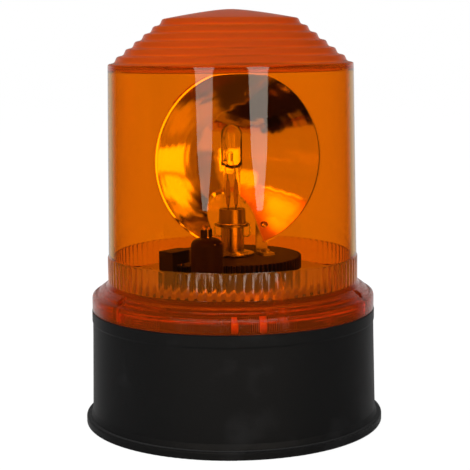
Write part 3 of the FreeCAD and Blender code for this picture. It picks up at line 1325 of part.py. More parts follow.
def motor_leads():
    """Leads from the motor's terminals down the sleeve to the terminal block."""
    wire_z = FLOOR_TOP + BLOCK_WIRE_Z
    top = PLATE_TOP + MOTOR_CAN_HEIGHT + MOTOR_CAP_HEIGHT
    ways = block_ways()
    leads = []
    for start, bends, way in zip(motor_lead_places(), MOTOR_LEAD_BENDS, (ways[3], ways[2])):
        leads.append(wire_along([
            (start[0], start[1], top), (start[0], start[1], LEAD_DROP_Z), *bends,
            (way + 0.5, -BLOCK_Y, wire_z + 0.8), (way, BLOCK_Y - 3, wire_z)], THIN_LEAD_RADIUS))
    return group(leads)


def earth_tag():
    """Tag riveted under the chassis plate, for the return lead."""
    washer = disc(TAG_RING_RADIUS, PLATE_Z - TAG_THICK * 2, PLATE_Z, TAG_PLACE)
    eyelet = disc(TAG_EYELET_RADIUS, PLATE_Z - TAG_THICK * 2, PLATE_TOP, TAG_PLACE)
    head = disc(TAG_EYELET_RADIUS + 1, PLATE_TOP, PLATE_TOP + TAG_THICK, TAG_PLACE)
    blade = block(TAG_THICK * 2, 2 * TAG_WIDTH, PLATE_Z - TAG_DROP, PLATE_Z,
                  (TAG_PLACE[0] - TAG_RING_RADIUS + TAG_THICK, TAG_PLACE[1]))
    return fused(washer, [eyelet, head, blade])


def earth_lead():
    """Lead from the tag under the chassis plate to the terminal block."""
    x = TAG_PLACE[0] - TAG_RING_RADIUS + TAG_THICK
    end = (block_ways()[0], BLOCK_Y - 3, FLOOR_TOP + BLOCK_WIRE_Z)
    start = (x, TAG_PLACE[1], PLATE_Z - TAG_DROP)
    return wire_along([start, *EARTH_LEAD_BENDS, end], THIN_LEAD_RADIUS)


NODES = (
    rubber_boot, base_housing, lens, lens_screws, chassis_plate, chassis_pillars, chassis_screws,
    pillar_screws, bulb_stem, stem_nut, thrust_washers, retaining_clip, turntable_gear, hub_bush,
    reflector, reflector_brackets, reflector_rivets, bracket_screws, idler_shaft, idler_bush,
    idler_wheel, idler_pinion, idler_bridge, bridge_screws, motor_can, motor_end_cap, motor_shaft,
    motor_pinion, motor_screws, motor_sleeve, motor_terminals, suppressor, bulb_cap, bulb_glass,
    bulb_filament, bulb_spring, bulb_insulator, bulb_contact, terminal_block, terminal_screws,
    block_screws, cable_grommet, lamp_lead, motor_leads, earth_tag, earth_lead)

os.makedirs("parts", exist_ok=True)
for make in NODES:
    shape = make()
    name = make.__name__
    print(f"{name}: {len(shape.Solids)} solids, {shape.Volume:.1f} mm3, valid {shape.isValid()}")
    shape.exportStep(f"parts/{name}.step")
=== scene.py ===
"""Looks of a rotating beacon: amber stepped lens, turning mirror bowl, halogen bulb, rubber boot.

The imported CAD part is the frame. New surfaces are worked out with numpy in metres, in the frame's
own axes: +Z up, -Y towards the front. A profile is a list of (radius, height) points in millimetres.
"""

import json
import logging
import math
from dataclasses import dataclass
from enum import Enum

import bpy
import numpy as np
from mathutils import Matrix, Vector


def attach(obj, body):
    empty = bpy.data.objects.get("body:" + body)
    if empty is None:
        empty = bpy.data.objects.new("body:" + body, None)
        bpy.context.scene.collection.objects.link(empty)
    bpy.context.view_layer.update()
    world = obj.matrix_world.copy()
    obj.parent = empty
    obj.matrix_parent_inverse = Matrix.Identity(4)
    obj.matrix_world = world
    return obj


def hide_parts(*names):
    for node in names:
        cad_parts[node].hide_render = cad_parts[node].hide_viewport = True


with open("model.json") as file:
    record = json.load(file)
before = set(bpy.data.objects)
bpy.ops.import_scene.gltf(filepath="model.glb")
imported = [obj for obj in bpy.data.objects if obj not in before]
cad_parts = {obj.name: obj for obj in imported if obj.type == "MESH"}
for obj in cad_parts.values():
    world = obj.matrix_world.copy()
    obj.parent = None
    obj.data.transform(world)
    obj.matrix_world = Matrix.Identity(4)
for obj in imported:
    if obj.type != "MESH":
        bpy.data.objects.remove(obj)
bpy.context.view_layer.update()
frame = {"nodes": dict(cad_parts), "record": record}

MM = 0.001
SAME_PLACE = 1e-6
MOST_OF_A_SIDE = 0.45
Point = tuple[float, float]
Triple = tuple[float, float, float]
log = logging.getLogger("beacon")


class Body(Enum):
    """CAD body that the new pieces ride on."""

    BASE = "base"


class Winding(Enum):
    """Which way faces are wound, so that they look outwards."""

    KEEP = 1
    FLIP = -1


class Operation(Enum):
    """What a tool object does to a piece."""

    JOIN = "UNION"
    CUT = "DIFFERENCE"


class Bounces(Enum):
    """How often the bowl has thrown back a ray that sees a window."""

    ONCE = 1
    TWICE = 2


# Meshes


def put_mesh(name: str, points: np.ndarray, faces: list[list[int]],
             smooth: bool = True) -> bpy.types.Object:
    """Makes an object from points and faces.

    Args:
        name: Name of the piece.
        points: Array (n, 3) of places in metres.
        faces: Rows of point numbers.
        smooth: Whether the faces are shaded smooth.

    Returns:
        The new object, at the origin.
    """
    mesh = bpy.data.meshes.new(name)
    mesh.from_pydata(points.tolist(), [], faces)
    mesh.validate()
    mesh.polygons.foreach_set("use_smooth", np.full(len(mesh.polygons), smooth))
    mesh.update()
    obj = bpy.data.objects.new(name, mesh)
    bpy.context.scene.collection.objects.link(obj)
    return obj


def ring_faces(rows: int, columns: int, winding: Winding) -> list[list[int]]:
    """Quads between closed rings of points that are numbered ring by ring.

    Args:
        rows: Number of rings.
        columns: Points on each ring.
        winding: Keeps or turns round the order of each quad.

    Returns:
        Rows of four point numbers.
    """
    low = np.arange(rows - 1)[:, None] * columns
    high = low + columns
    here = np.arange(columns)[None, :]
    there = (here + 1) % columns
    quads = np.stack([low + here, low + there, high + there, high + here], -1).reshape(-1, 4)
    return (quads if winding is Winding.KEEP else quads[:, ::-1]).tolist()


def fan(pole: int, start: int, columns: int, winding: Winding) -> list[list[int]]:
    """Triangles from a pole to a closed ring of points.

    Args:
        pole: Number of the pole's point.
        start: Number of the ring's first point.
        columns: Points on the ring.
        winding: Keeps or turns round the order of each triangle.

    Returns:
        Rows of three point numbers.
    """
    here = np.arange(columns)
    there = (here + 1) % columns
    ends = (here, there) if winding is Winding.KEEP else (there, here)
    return np.stack([np.full(columns, pole), start + ends[0], start + ends[1]], -1).tolist()


def capped(name: str, rings: np.ndarray, winding: Winding = Winding.KEEP,
           smooth: bool = True) -> bpy.types.Object:
    """Makes an object from a stack of rings, closed by a flat face at each end.

    Args:
        name: Name of the piece.
        rings: Array (n, m, 3) of places in metres.
        winding: Keeps or turns round the order of each face.
        smooth: Whether the faces are shaded smooth.

    Returns:
        The new object.
    """
    rows, columns = rings.shape[:2]
    first = list(range(columns))
    last = list(range((rows - 1) * columns, rows * columns))
    caps = [first[::-1], last] if winding is Winding.KEEP else [first, last[::-1]]
    return put_mesh(name, rings.reshape(-1, 3), ring_faces(rows, columns, winding) + caps, smooth)


def bends(starts: np.ndarray, controls: np.ndarray, ends: np.ndarray, steps: int) -> np.ndarray:
    """Parabolas (1-s)^2 start + 2s(1-s) control + s^2 end, one for each row, with s from 0 to 1.

    Args:
        starts: Array (n, k) of first points.
        controls: Array (n, k) of the points where the end tangents meet.
        ends: Array (n, k) of last points.
        steps: Points on each parabola.

    Returns:
        Array (n, steps, k).
    """
    s = np.linspace(0, 1, steps)[None, :, None]
    return (1 - s) ** 2 * starts[:, None] + 2 * s * (1 - s) * controls[:, None] + s ** 2 * ends[:, None]


def without_repeats(line: np.ndarray) -> np.ndarray:
    """Leaves out each point that lies on the one before it."""
    return line[np.concatenate([[True], np.linalg.norm(np.diff(line, axis=0), axis=1) > SAME_PLACE])]


def rounded(corners: list[Triple], steps: int) -> np.ndarray:
    """Rounds the inner corners of an open profile, each with a parabola.

    A rounding starts and ends at the corner's own reach from it, but short of a side's middle.

    Args:
        corners: Radius, height and reach of each corner in millimetres. A reach of 0 keeps it.
        steps: Points on each rounding.

    Returns:
        Array (n, 2) of points.
    """
    line, reach = np.array(corners, float)[:, :2], np.array(corners, float)[1:-1, 2:]
    corner, before, after = line[1:-1], line[:-2] - line[1:-1], line[2:] - line[1:-1]
    far_before = np.linalg.norm(before, axis=1, keepdims=True)
    far_after = np.linalg.norm(after, axis=1, keepdims=True)
    start = corner + before / far_before * np.minimum(reach, far_before * MOST_OF_A_SIDE)
    end = corner + after / far_after * np.minimum(reach, far_after * MOST_OF_A_SIDE)
    curve = bends(start, corner, end, steps).reshape(-1, 2)
    return without_repeats(np.concatenate([line[:1], curve, line[-1:]]))


def crown(start: Point, control: Point, end: Point, steps: int) -> np.ndarray:
    """One parabola between two points of a profile."""
    return bends(*(np.array([point], float) for point in (start, control, end)), steps)[0]


def soft_line(corners: list[Triple]) -> np.ndarray:
    """Rounds a line through given corners: a parabola from middle to middle of its sides.

    Args:
        corners: Places in millimetres.

    Returns:
        Array (n, 3) of places.
    """
    p = np.array(corners, float)
    middle = (p[1:] + p[:-1]) / 2
    curve = bends(middle[:-1], p[1:-1], middle[1:], 9).reshape(-1, 3)
    return without_repeats(np.concatenate([p[:1], curve, p[-1:]]))


def revolved(profile: np.ndarray, angles: np.ndarray, bulge: np.ndarray | float = 0.0) -> np.ndarray:
    """Turns a profile about the Z axis.

    The point at profile row i and angle t is ((r + b) cos t, (r + b) sin t, z), where b is the
    bulge of that row and angle.

    Args:
        profile: Array (n, 2) of radius and height in millimetres.
        angles: Array (m) of angles in radians.
        bulge: Array (n, m) added to the radius, in millimetres.

    Returns:
        Array (n, m, 3) in metres.
    """
    radius = np.broadcast_to(profile[:, :1] + bulge, (len(profile), len(angles)))
    height = np.broadcast_to(profile[:, 1:], radius.shape)
    return np.stack([radius * np.cos(angles), radius * np.sin(angles), height], -1) * MM


def closed_shell(name: str, outer: np.ndarray, inner: np.ndarray) -> bpy.types.Object:
    """Joins an outer and an inner turned skin into one closed shell with a pole on each.

    Args:
        name: Name of the piece.
        outer: Array (n, m, 3) from the lower edge up. Its last row is the pole.
        inner: Array (k, m, 3) from the pole down to the lower edge. Its first row is the pole.

    Returns:
        The new object.
    """
    skin = np.concatenate([inner[1:], outer[:-1]])
    rows, columns = skin.shape[:2]
    points = np.concatenate([skin.reshape(-1, 3), inner[0, :1], outer[-1, :1]])
    pole = rows * columns
    faces = ring_faces(rows, columns, Winding.KEEP) + fan(pole, 0, columns, Winding.FLIP)
    return put_mesh(name, points, faces + fan(pole + 1, pole - columns, columns, Winding.KEEP))


def tube(name: str, path: np.ndarray, radius: float, sides: int) -> bpy.types.Object:
    """Round wire along a path, closed at both ends.

    At each path point the ring is p + radius (cos a u + sin a v), where u and v are square to the
    path and turn as little as they can: u is a fixed direction with its part along the path left out.

    Args:
        name: Name of the piece.
        path: Array (n, 3) of places in millimetres.
        radius: Wire radius in millimetres.
        sides: Points round the wire.

    Returns:
        The new object.
    """
    along = np.gradient(path, axis=0)
    along /= np.linalg.norm(along, axis=1, keepdims=True)
    fixed = np.where(np.abs(along[:, 2:]) < 0.9, [[0.0, 0.0, 1.0]], [[1.0, 0.0, 0.0]])
    u = np.cross(along, fixed)
    u /= np.linalg.norm(u, axis=1, keepdims=True)
    v = np.cross(along, u)
    a = np.linspace(0, 2 * math.pi, sides, endpoint=False)[None, :, None]
    return capped(name, (path[:, None] + radius * (np.cos(a) * u[:, None] + np.sin(a) * v[:, None])) * MM)


def bead(name: str, centre: Triple, size: Triple) -> bpy.types.Object:
    """Closed ellipsoid: centre + size (sin p cos t, sin p sin t, cos p), with a pole at each end.

    Args:
        name: Name of the piece.
        centre: Its middle in millimetres.
        size: Half of its length along each axis in millimetres.

    Returns:
        The new object.
    """
    rows, columns = 7, 20
    p = np.linspace(0, math.pi, rows + 2)[1:-1, None]
    t = np.linspace(0, 2 * math.pi, columns, endpoint=False)[None, :]
    unit = np.stack([np.sin(p) * np.cos(t), np.sin(p) * np.sin(t), np.cos(p) * np.ones_like(t)], -1)
    poles = np.array([[0, 0, 1.0], [0, 0, -1.0]])
    points = (np.concatenate([unit.reshape(-1, 3), poles]) * np.array(size) + np.array(centre)) * MM
    pole = rows * columns
    faces = ring_faces(rows, columns, Winding.FLIP) + fan(pole, 0, columns, Winding.KEEP)
    return put_mesh(name, points, faces + fan(pole + 1, pole - columns, columns, Winding.FLIP))


def shape(obj: bpy.types.Object, tool: bpy.types.Object, operation: Operation) -> None:
    """Cuts a piece with a tool object or joins them, applies it and removes the tool.

    Args:
        obj: Piece that is changed.
        tool: Closed object that is used up.
        operation: Whether the tool is joined or cut away.
    """
    modifier = obj.modifiers.new("shape", "BOOLEAN")
    modifier.operation = operation.value
    modifier.solver = "MANIFOLD"
    modifier.object = tool
    depsgraph = bpy.context.evaluated_depsgraph_get()
    result = bpy.data.meshes.new_from_object(obj.evaluated_get(depsgraph))
    obj.modifiers.clear()
    obj.data = result
    bpy.data.objects.remove(tool)


# Materials


Socket = bpy.types.NodeSocket
Value = Socket | float | tuple[float, ...]
Inputs = dict[str | int, Value]


class Nodes:
    """Short hand for a node tree."""

    def __init__(self, tree: bpy.types.NodeTree) -> None:
        """Clears the tree and keeps it."""
        self.tree = tree
        tree.nodes.clear()

    def feed(self, target: Socket, value: Value) -> None:
        """Links another socket to an input, or sets the input's constant.

        Args:
            target: Input socket.
            value: Output socket or constant.
        """
        if isinstance(value, bpy.types.NodeSocket):
            self.tree.links.new(value, target)
        else:
            target.default_value = value

    def add(self, kind: str, inputs: Inputs | None = None, **settings: object) -> bpy.types.Node:
        """Adds a node.

        Args:
            kind: Blender's name of the node.
            inputs: Socket or constant for its inputs, by their name or number.
            settings: Properties of the node.

        Returns:
            The node.
        """
        node = self.tree.nodes.new(kind)
        for name, setting in settings.items():
            setattr(node, name, setting)
        for key, value in (inputs or {}).items():
            self.feed(node.inputs[key], value)
        return node

    def group(self, tree: bpy.types.NodeTree, inputs: Inputs) -> bpy.types.Node:
        """Adds a node group with its inputs."""
        return self.add("ShaderNodeGroup", inputs, node_tree=tree)

    def math(self, operation: str, a: Value, b: Value = 0.0, clamp: bool = False) -> Socket:
        """Adds a math node on sockets or numbers and returns its output."""
        return self.add("ShaderNodeMath", {0: a, 1: b}, operation=operation, use_clamp=clamp).outputs[0]

    def vector(self, operation: str, a: Value, b: Value) -> bpy.types.Node:
        """Adds a vector math node on two inputs."""
        return self.add("ShaderNodeVectorMath", {0: a, 1: b}, operation=operation)

    def noise(self, place: Socket, scale: Value, detail: float) -> Socket:
        """Adds a noise and returns its level."""
        node = self.add("ShaderNodeTexNoise", {"Vector": place, "Scale": scale, "Detail": detail})
        return node.outputs["Fac"]

    def mix_values(self, share: Value, first: Value, second: Value) -> Socket:
        """Mixes two numbers."""
        return self.add("ShaderNodeMix", {0: share, 2: first, 3: second}, data_type="FLOAT").outputs[0]

    def mix_colours(self, share: Value, first: Value, second: Value) -> Socket:
        """Mixes two colours."""
        return self.add("ShaderNodeMix", {0: share, 6: first, 7: second}, data_type="RGBA").outputs[2]

    def mix_shaders(self, share: Value, first: bpy.types.Node, second: bpy.types.Node) -> Socket:
        """Mixes two shaders."""
        inputs = {0: share, 1: first.outputs[0], 2: second.outputs[0]}
        return self.add("ShaderNodeMixShader", inputs).outputs[0]

    def ramp(self, value: Socket, span: Point, levels: Point) -> Socket:
        """Adds a smooth step from one level to another as a value goes through a span.

        Args:
            value: What the step depends on.
            span: Values at which it starts and ends.
            levels: Its levels before and after.

        Returns:
            Its level.
        """
        inputs = {"Value": value, "From Min": span[0], "From Max": span[1],
                  "To Min": levels[0], "To Max": levels[1]}
        return self.add("ShaderNodeMapRange", inputs, interpolation_type="SMOOTHSTEP").outputs["Result"]

    def end(self, surface: Socket, kind: str = "ShaderNodeOutputMaterial") -> None:
        """Adds the output node and links the surface to it."""
        self.add(kind, {"Surface": surface})


def new_material(name: str) -> tuple[bpy.types.Material, Nodes]:
    """Makes an empty material.

    Args:
        name: Name of the material.

    Returns:
        The material and its node helper.
    """
    material = bpy.data.materials.new(name)
    material.use_nodes = True
    return material, Nodes(material.node_tree)


FLOAT, COLOUR, VECTOR = "NodeSocketFloat", "NodeSocketColor", "NodeSocketVector"
WHITE = (1, 1, 1, 1)
SCUFF_START, SCUFF_GAIN = 0.56, 6.0

# Ray depths are whole numbers, so each limit lies between two of them.
NO_GLASS, ONE_BOUNCE, TWO_BOUNCES, BACK_THROUGH_LENS = 0.5, 0.5, 1.5, 2.5


def new_group(name: str, inputs: dict[str, tuple[str, Value]], outputs: dict[str, str]) -> tuple[
        Nodes, bpy.types.NodeOutputs, bpy.types.NodeInputs]:
    """Makes an empty shader node group with named sockets.

    Args:
        name: Name of the group.
        inputs: Socket kind and value of each input by its name.
        outputs: Socket kind of each output by its name.

    Returns:
        The group's node helper, what it is given and what it puts out.
    """
    group = bpy.data.node_groups.new(name, "ShaderNodeTree")
    for label, (kind, value) in inputs.items():
        group.interface.new_socket(label, in_out="INPUT", socket_type=kind).default_value = value
    for label, kind in outputs.items():
        group.interface.new_socket(label, in_out="OUTPUT", socket_type=kind)
    nodes = Nodes(group)
    return nodes, nodes.add("NodeGroupInput").outputs, nodes.add("NodeGroupOutput").inputs


def surface_group() -> bpy.types.NodeTree:
    """Group for moulded or plated surfaces: fine grain, slow blotches and faint scuffs.

    Returns:
        Group with a colour, a roughness and a height that change over the surface.
    """
    n, given, out = new_group(
        "surface_variation",
        {"Colour": (COLOUR, WHITE), "Worn Colour": (COLOUR, WHITE), "Grain Scale": (FLOAT, 900.0),
         "Blotch Scale": (FLOAT, 30.0), "Scuff Amount": (FLOAT, 0.3), "Low Roughness": (FLOAT, 0.4),
         "High Roughness": (FLOAT, 0.6), "Stretch": (VECTOR, (1, 1, 1))},
        {"Colour": COLOUR, "Roughness": FLOAT, "Height": FLOAT})
    place = n.add("ShaderNodeTexCoord").outputs["Object"]
    stretched = n.vector("MULTIPLY", place, given["Stretch"]).outputs[0]
    grain = n.noise(stretched, given["Grain Scale"], 3)
    blotch = n.noise(stretched, given["Blotch Scale"], 5)
    spots = n.math("MULTIPLY", n.math("SUBTRACT", blotch, SCUFF_START, clamp=True), SCUFF_GAIN, clamp=True)
    worn = n.math("MULTIPLY", spots, given["Scuff Amount"], clamp=True)
    span = n.math("SUBTRACT", given["High Roughness"], given["Low Roughness"])
    n.feed(out["Colour"], n.mix_colours(worn, given["Colour"], given["Worn Colour"]))
    n.feed(out["Roughness"], n.math("ADD", n.math("MULTIPLY", span, blotch), given["Low Roughness"]))
    n.feed(out["Height"], grain)
    return n.tree


def wear_group() -> bpy.types.NodeTree:
    """Group that finds sharp edges: one minus the flatness that a bevelled normal shows.

    Returns:
        Group with a mask from 0 on flat faces to 1 on edges.
    """
    n, given, out = new_group(
        "edge_wear", {"Width": (FLOAT, 0.0004), "Strength": (FLOAT, 3.0)}, {"Mask": FLOAT})
    normal = n.add("ShaderNodeNewGeometry").outputs["Normal"]
    bevel = n.add("ShaderNodeBevel", {"Radius": given["Width"]}, samples=4).outputs[0]
    flatness = n.vector("DOT_PRODUCT", bevel, normal).outputs["Value"]
    bend = n.math("SUBTRACT", 1.0, flatness, clamp=True)
    n.feed(out["Mask"], n.math("MULTIPLY", bend, given["Strength"], clamp=True))
    return n.tree


def ring_group() -> bpy.types.NodeTree:
    """Group for the marks of spinning: rings round an axis, and slow dents.

    The distance from the axis is the length of q - (q . a) a, where q is the place from a point on
    the axis and a its direction. The height is the sine of that distance times 2 pi over the pitch,
    plus a slow noise.

    Returns:
        Group with a height.
    """
    n, given, out = new_group(
        "spun_rings", {"Axis": (VECTOR, (1, 0, 0)), "Centre": (VECTOR, (0, 0, 0)), "Pitch": (FLOAT, 0.005),
                       "Dent Scale": (FLOAT, 70.0), "Dent Share": (FLOAT, 2.0)}, {"Height": FLOAT})
    place = n.add("ShaderNodeTexCoord").outputs["Object"]
    offset = n.vector("SUBTRACT", place, given["Centre"]).outputs[0]
    along = n.vector("PROJECT", offset, given["Axis"]).outputs[0]
    away = n.vector("DISTANCE", offset, along).outputs["Value"]
    ring = n.math("SINE", n.math("MULTIPLY", n.math("DIVIDE", away, given["Pitch"]), 2 * math.pi))
    dents = n.math("MULTIPLY", n.noise(place, given["Dent Scale"], 1), given["Dent Share"])
    n.feed(out["Height"], n.math("ADD", ring, dents))
    return n.tree


def prism_group() -> bpy.types.NodeTree:
    """Group for the fine prisms moulded in a lens: crossed upright and level ribs.

    The height is |sin| of the angle round Z times the count, plus |sin| of the height times the
    level count, between a low and a high level only.

    Returns:
        Group with a height.
    """
    n, given, out = new_group(
        "fine_prisms", {"Count": (FLOAT, 260.0), "Level Count": (FLOAT, 2600.0), "Low": (FLOAT, 0.0),
                        "High": (FLOAT, 0.1)}, {"Height": FLOAT})
    place = n.add("ShaderNodeTexCoord").outputs["Object"]
    x, y, z = n.add("ShaderNodeSeparateXYZ", {0: place}).outputs
    upright, level = (n.math("ABSOLUTE", n.math("SINE", n.math("MULTIPLY", value, given[count])))
                      for value, count in ((n.math("ARCTAN2", y, x), "Count"), (z, "Level Count")))
    ribs = n.math("ADD", upright, level)
    above, below = n.math("GREATER_THAN", z, given["Low"]), n.math("LESS_THAN", z, given["High"])
    n.feed(out["Height"], n.math("MULTIPLY", ribs, n.math("MULTIPLY", above, below)))
    return n.tree


SURFACE, WEAR, RINGS, PRISMS = surface_group(), wear_group(), ring_group(), prism_group()


@dataclass(frozen=True)
class Finish:
    """A solid surface with grain, blotches, scuffs and worn edges.

    Lengths are in metres. A spun piece has rings round an axis at spun_height that points to
    spun_azimuth, in degrees.
    """

    name: str
    colour: Triple
    worn: Triple
    roughness: Point = (0.4, 0.6)
    metallic: float = 0.0
    grain_scale: float = 900.0
    grain_depth: float = 0.1
    grain_height: float = 0.0002
    blotch_scale: float = 30.0
    scuffs: float = 0.3
    stretch: Triple = (1.0, 1.0, 1.0)
    specular: float = 0.5
    sheen: float = 0.0
    sheen_roughness: float = 0.4
    edge_width: float = 0.0003
    edge_wear: float = 0.6
    spun_depth: float = 0.0
    spun_azimuth: float = -68.0
    spun_height: float = 0.1405

    def build(self) -> bpy.types.Material:
        """Makes the material.

        Returns:
            Material with a Principled shader fed by the surface group and the worn edges' mask.
        """
        material, n = new_material(self.name)
        surface = n.group(SURFACE, {
            "Colour": (*self.colour, 1), "Worn Colour": (*self.worn, 1), "Grain Scale": self.grain_scale,
            "Blotch Scale": self.blotch_scale, "Scuff Amount": self.scuffs, "Stretch": self.stretch,
            "Low Roughness": self.roughness[0], "High Roughness": self.roughness[1]}).outputs
        edges = n.group(WEAR, {"Width": self.edge_width, "Strength": self.edge_wear}).outputs["Mask"]
        grain: Inputs = {"Strength": self.grain_depth, "Distance": self.grain_height,
                         "Height": surface["Height"]}
        if self.spun_depth:
            facing = math.radians(self.spun_azimuth)
            rings = n.group(RINGS, {"Axis": (math.cos(facing), math.sin(facing), 0),
                                    "Centre": (0, 0, self.spun_height)}).outputs["Height"]
            marks = n.add("ShaderNodeBump", {"Strength": 1.0, "Distance": self.spun_depth, "Height": rings})
            grain["Normal"] = marks.outputs[0]
        shader = n.add("ShaderNodeBsdfPrincipled", {
            "Base Color": n.mix_colours(edges, surface["Colour"], (*self.worn, 1)),
            "Roughness": surface["Roughness"], "Metallic": self.metallic,
            "Specular IOR Level": self.specular, "Sheen Weight": self.sheen,
            "Sheen Roughness": self.sheen_roughness, "Normal": n.add("ShaderNodeBump", grain).outputs[0]})
        n.end(shader.outputs[0])
        return material


@dataclass(frozen=True)
class GlassFinish:
    """Clear or tinted glass, milky where its clearness is under 1, with slow waves or fine prisms.

    The prisms lie between two heights in metres.
    """

    name: str
    colour: Triple
    ior: float = 1.49
    roughness: Point = (0.0, 0.02)
    clearness: float = 1.0
    prisms: Point = (0.0, 0.0)
    prism_depth: float = 0.0
    waviness: float = 0.0
    cloud_scale: float = 35.0
    tint_spread: float = 0.03
    bump_height: float = 0.001

    def build(self) -> bpy.types.Material:
        """Makes the material.

        Rays that only carry light pass straight through, tinted by the root of the same colour.

        Returns:
            Material with a transmissive Principled shader mixed with a Transparent one.
        """
        material, n = new_material(self.name)
        cloud = n.noise(n.add("ShaderNodeTexCoord").outputs["Object"], self.cloud_scale, 2)
        pale, deep = (tuple(min(1.0, (1 + change) * part) for part in self.colour)
                      for change in (-self.tint_spread, self.tint_spread))
        tint = n.mix_colours(cloud, (*pale, 1), (*deep, 1))
        span = self.roughness[1] - self.roughness[0]
        prisms = n.group(PRISMS, {"Low": self.prisms[0], "High": self.prisms[1]}).outputs["Height"]
        height = n.math("ADD", n.math("MULTIPLY", prisms, self.prism_depth),
                        n.math("MULTIPLY", cloud, self.waviness))
        bump = n.add("ShaderNodeBump", {"Strength": 1.0, "Distance": self.bump_height, "Height": height})
        shader = n.add("ShaderNodeBsdfPrincipled", {
            "Base Color": tint, "Transmission Weight": self.clearness, "IOR": self.ior,
            "Roughness": n.math("ADD", n.math("MULTIPLY", cloud, span), self.roughness[0]),
            "Normal": bump.outputs[0]})
        root = n.add("ShaderNodeGamma", {"Color": tint, "Gamma": 0.5})
        clear = n.add("ShaderNodeBsdfTransparent", {"Color": root.outputs[0]})
        path = n.add("ShaderNodeLightPath").outputs
        light = n.math("MAXIMUM", path["Is Shadow Ray"], path["Is Diffuse Ray"])
        n.end(n.mix_shaders(light, shader, clear))
        return material


RUBBER = Finish("boot_rubber_finish", (0.0052, 0.0052, 0.0054), (0.021, 0.021, 0.022), (0.50, 0.66),
                grain_scale=1500, grain_depth=0.25, blotch_scale=42, scuffs=0.45, specular=0.3, sheen=0.12)
SLEEVE_RUBBER = Finish("sleeve_rubber_finish", (0.020, 0.012, 0.011), (0.045, 0.030, 0.026), (0.42, 0.56),
                       grain_scale=1800, grain_depth=0.15, blotch_scale=120, scuffs=0.3, specular=0.2)
BLACK_MOULDING = Finish("black_moulding_finish", (0.018, 0.016, 0.016), (0.045, 0.042, 0.042), (0.42, 0.56),
                        grain_scale=1400, grain_depth=0.2, blotch_scale=90, specular=0.25)
GREY_MOULDING = Finish("grey_moulding_finish", (0.42, 0.42, 0.40), (0.30, 0.30, 0.28), (0.4, 0.55),
                       grain_scale=1400, grain_depth=0.15, blotch_scale=90)
GEAR_PLASTIC = Finish("gear_plastic_finish", (0.020, 0.013, 0.012), (0.05, 0.036, 0.03), (0.42, 0.56),
                      grain_scale=1100, grain_depth=0.12, blotch_scale=140, scuffs=0.25, specular=0.2)
SCREW_STEEL = Finish("screw_steel_finish", (0.66, 0.65, 0.62), (0.42, 0.40, 0.36), (0.18, 0.34), 1.0,
                     grain_scale=2600, grain_depth=0.06, blotch_scale=260, scuffs=0.5)
ZINC_PLATE = Finish("zinc_plate_finish", (0.60, 0.60, 0.57), (0.46, 0.45, 0.38), (0.26, 0.42), 1.0,
                    grain_scale=700, grain_depth=0.05, blotch_scale=120, scuffs=0.4, stretch=(1.0, 6.0, 1.0))
BRIGHT_TUBE = Finish("bright_tube_finish", (0.44, 0.40, 0.36), (0.26, 0.23, 0.20), (0.16, 0.30), 1.0,
                     grain_scale=1500, grain_depth=0.03, blotch_scale=180, stretch=(1.0, 1.0, 0.1))
DULL_CAP = Finish("dull_cap_finish", (0.30, 0.27, 0.24), (0.18, 0.16, 0.14), (0.22, 0.38), 1.0,
                  grain_scale=1500, grain_depth=0.05, blotch_scale=180, scuffs=0.5)
BRONZE = Finish("bronze_finish", (0.60, 0.40, 0.17), (0.38, 0.24, 0.10), (0.22, 0.36), 1.0,
                grain_scale=1900, grain_depth=0.06, blotch_scale=240, scuffs=0.5)
MIRROR = Finish("mirror_finish", (0.90, 0.89, 0.86), (0.84, 0.82, 0.78), (0.06, 0.12), 1.0, grain_scale=120,
                grain_depth=0.006, blotch_scale=60, scuffs=0.25, edge_wear=0.0, spun_depth=0.00001)
SHAFT_STEEL = Finish("shaft_steel_finish", (0.60, 0.60, 0.60), (0.45, 0.44, 0.42), (0.14, 0.26), 1.0,
                     grain_scale=2400, grain_depth=0.05, blotch_scale=300, stretch=(1.0, 1.0, 0.15))
TUNGSTEN = Finish("tungsten_finish", (0.33, 0.32, 0.32), (0.22, 0.22, 0.24), (0.3, 0.45), 1.0,
                  grain_scale=5000, grain_depth=0.05, blotch_scale=900)
MOLYBDENUM = Finish("foil_finish", (0.40, 0.30, 0.24), (0.16, 0.08, 0.05), (0.25, 0.4), 1.0,
                    grain_scale=2200, grain_depth=0.1, blotch_scale=420, scuffs=0.9)
SOLDER = Finish("solder_finish", (0.82, 0.81, 0.80), (0.60, 0.59, 0.57), (0.10, 0.22), 1.0,
                grain_scale=1600, grain_depth=0.08, blotch_scale=500)
WHITE_INSULATOR = Finish("white_insulator_finish", (0.78, 0.77, 0.72), (0.60, 0.57, 0.50), (0.35, 0.5),
                         grain_scale=1600, grain_depth=0.12, blotch_scale=200)
LEAD_SHEATH = Finish("lead_sheath_finish", (0.03, 0.03, 0.032), (0.07, 0.07, 0.07), (0.35, 0.5),
                     grain_scale=1700, grain_depth=0.1, blotch_scale=250)
FROSTED_AMBER = Finish("frosted_amber_finish", (0.80, 0.62, 0.16), (0.72, 0.48, 0.10), (0.35, 0.5),
                       grain_scale=1300, grain_depth=0.2, blotch_scale=260, scuffs=0.4)
AMBER = GlassFinish("amber_lens_finish", (0.850, 0.368, 0.004), roughness=(0.0, 0.012), waviness=0.015)
AMBER_DOME = GlassFinish("amber_dome_finish", (0.87, 0.19, 0.006), roughness=(0.26, 0.34), clearness=0.86)
AMBER_BAND = GlassFinish("amber_band_finish", (0.85, 0.29, 0.007), roughness=(0.10, 0.20), clearness=0.92)
AMBER_SKIRT = GlassFinish("amber_skirt_finish", (0.86, 0.165, 0.010), roughness=(0.02, 0.08), clearness=0.91,
                          prisms=(0.0615, 0.0740), prism_depth=0.05)
QUARTZ = GlassFinish("quartz_finish", (0.985, 0.985, 0.985), ior=1.46, roughness=(0.0, 0.01), waviness=0.02)

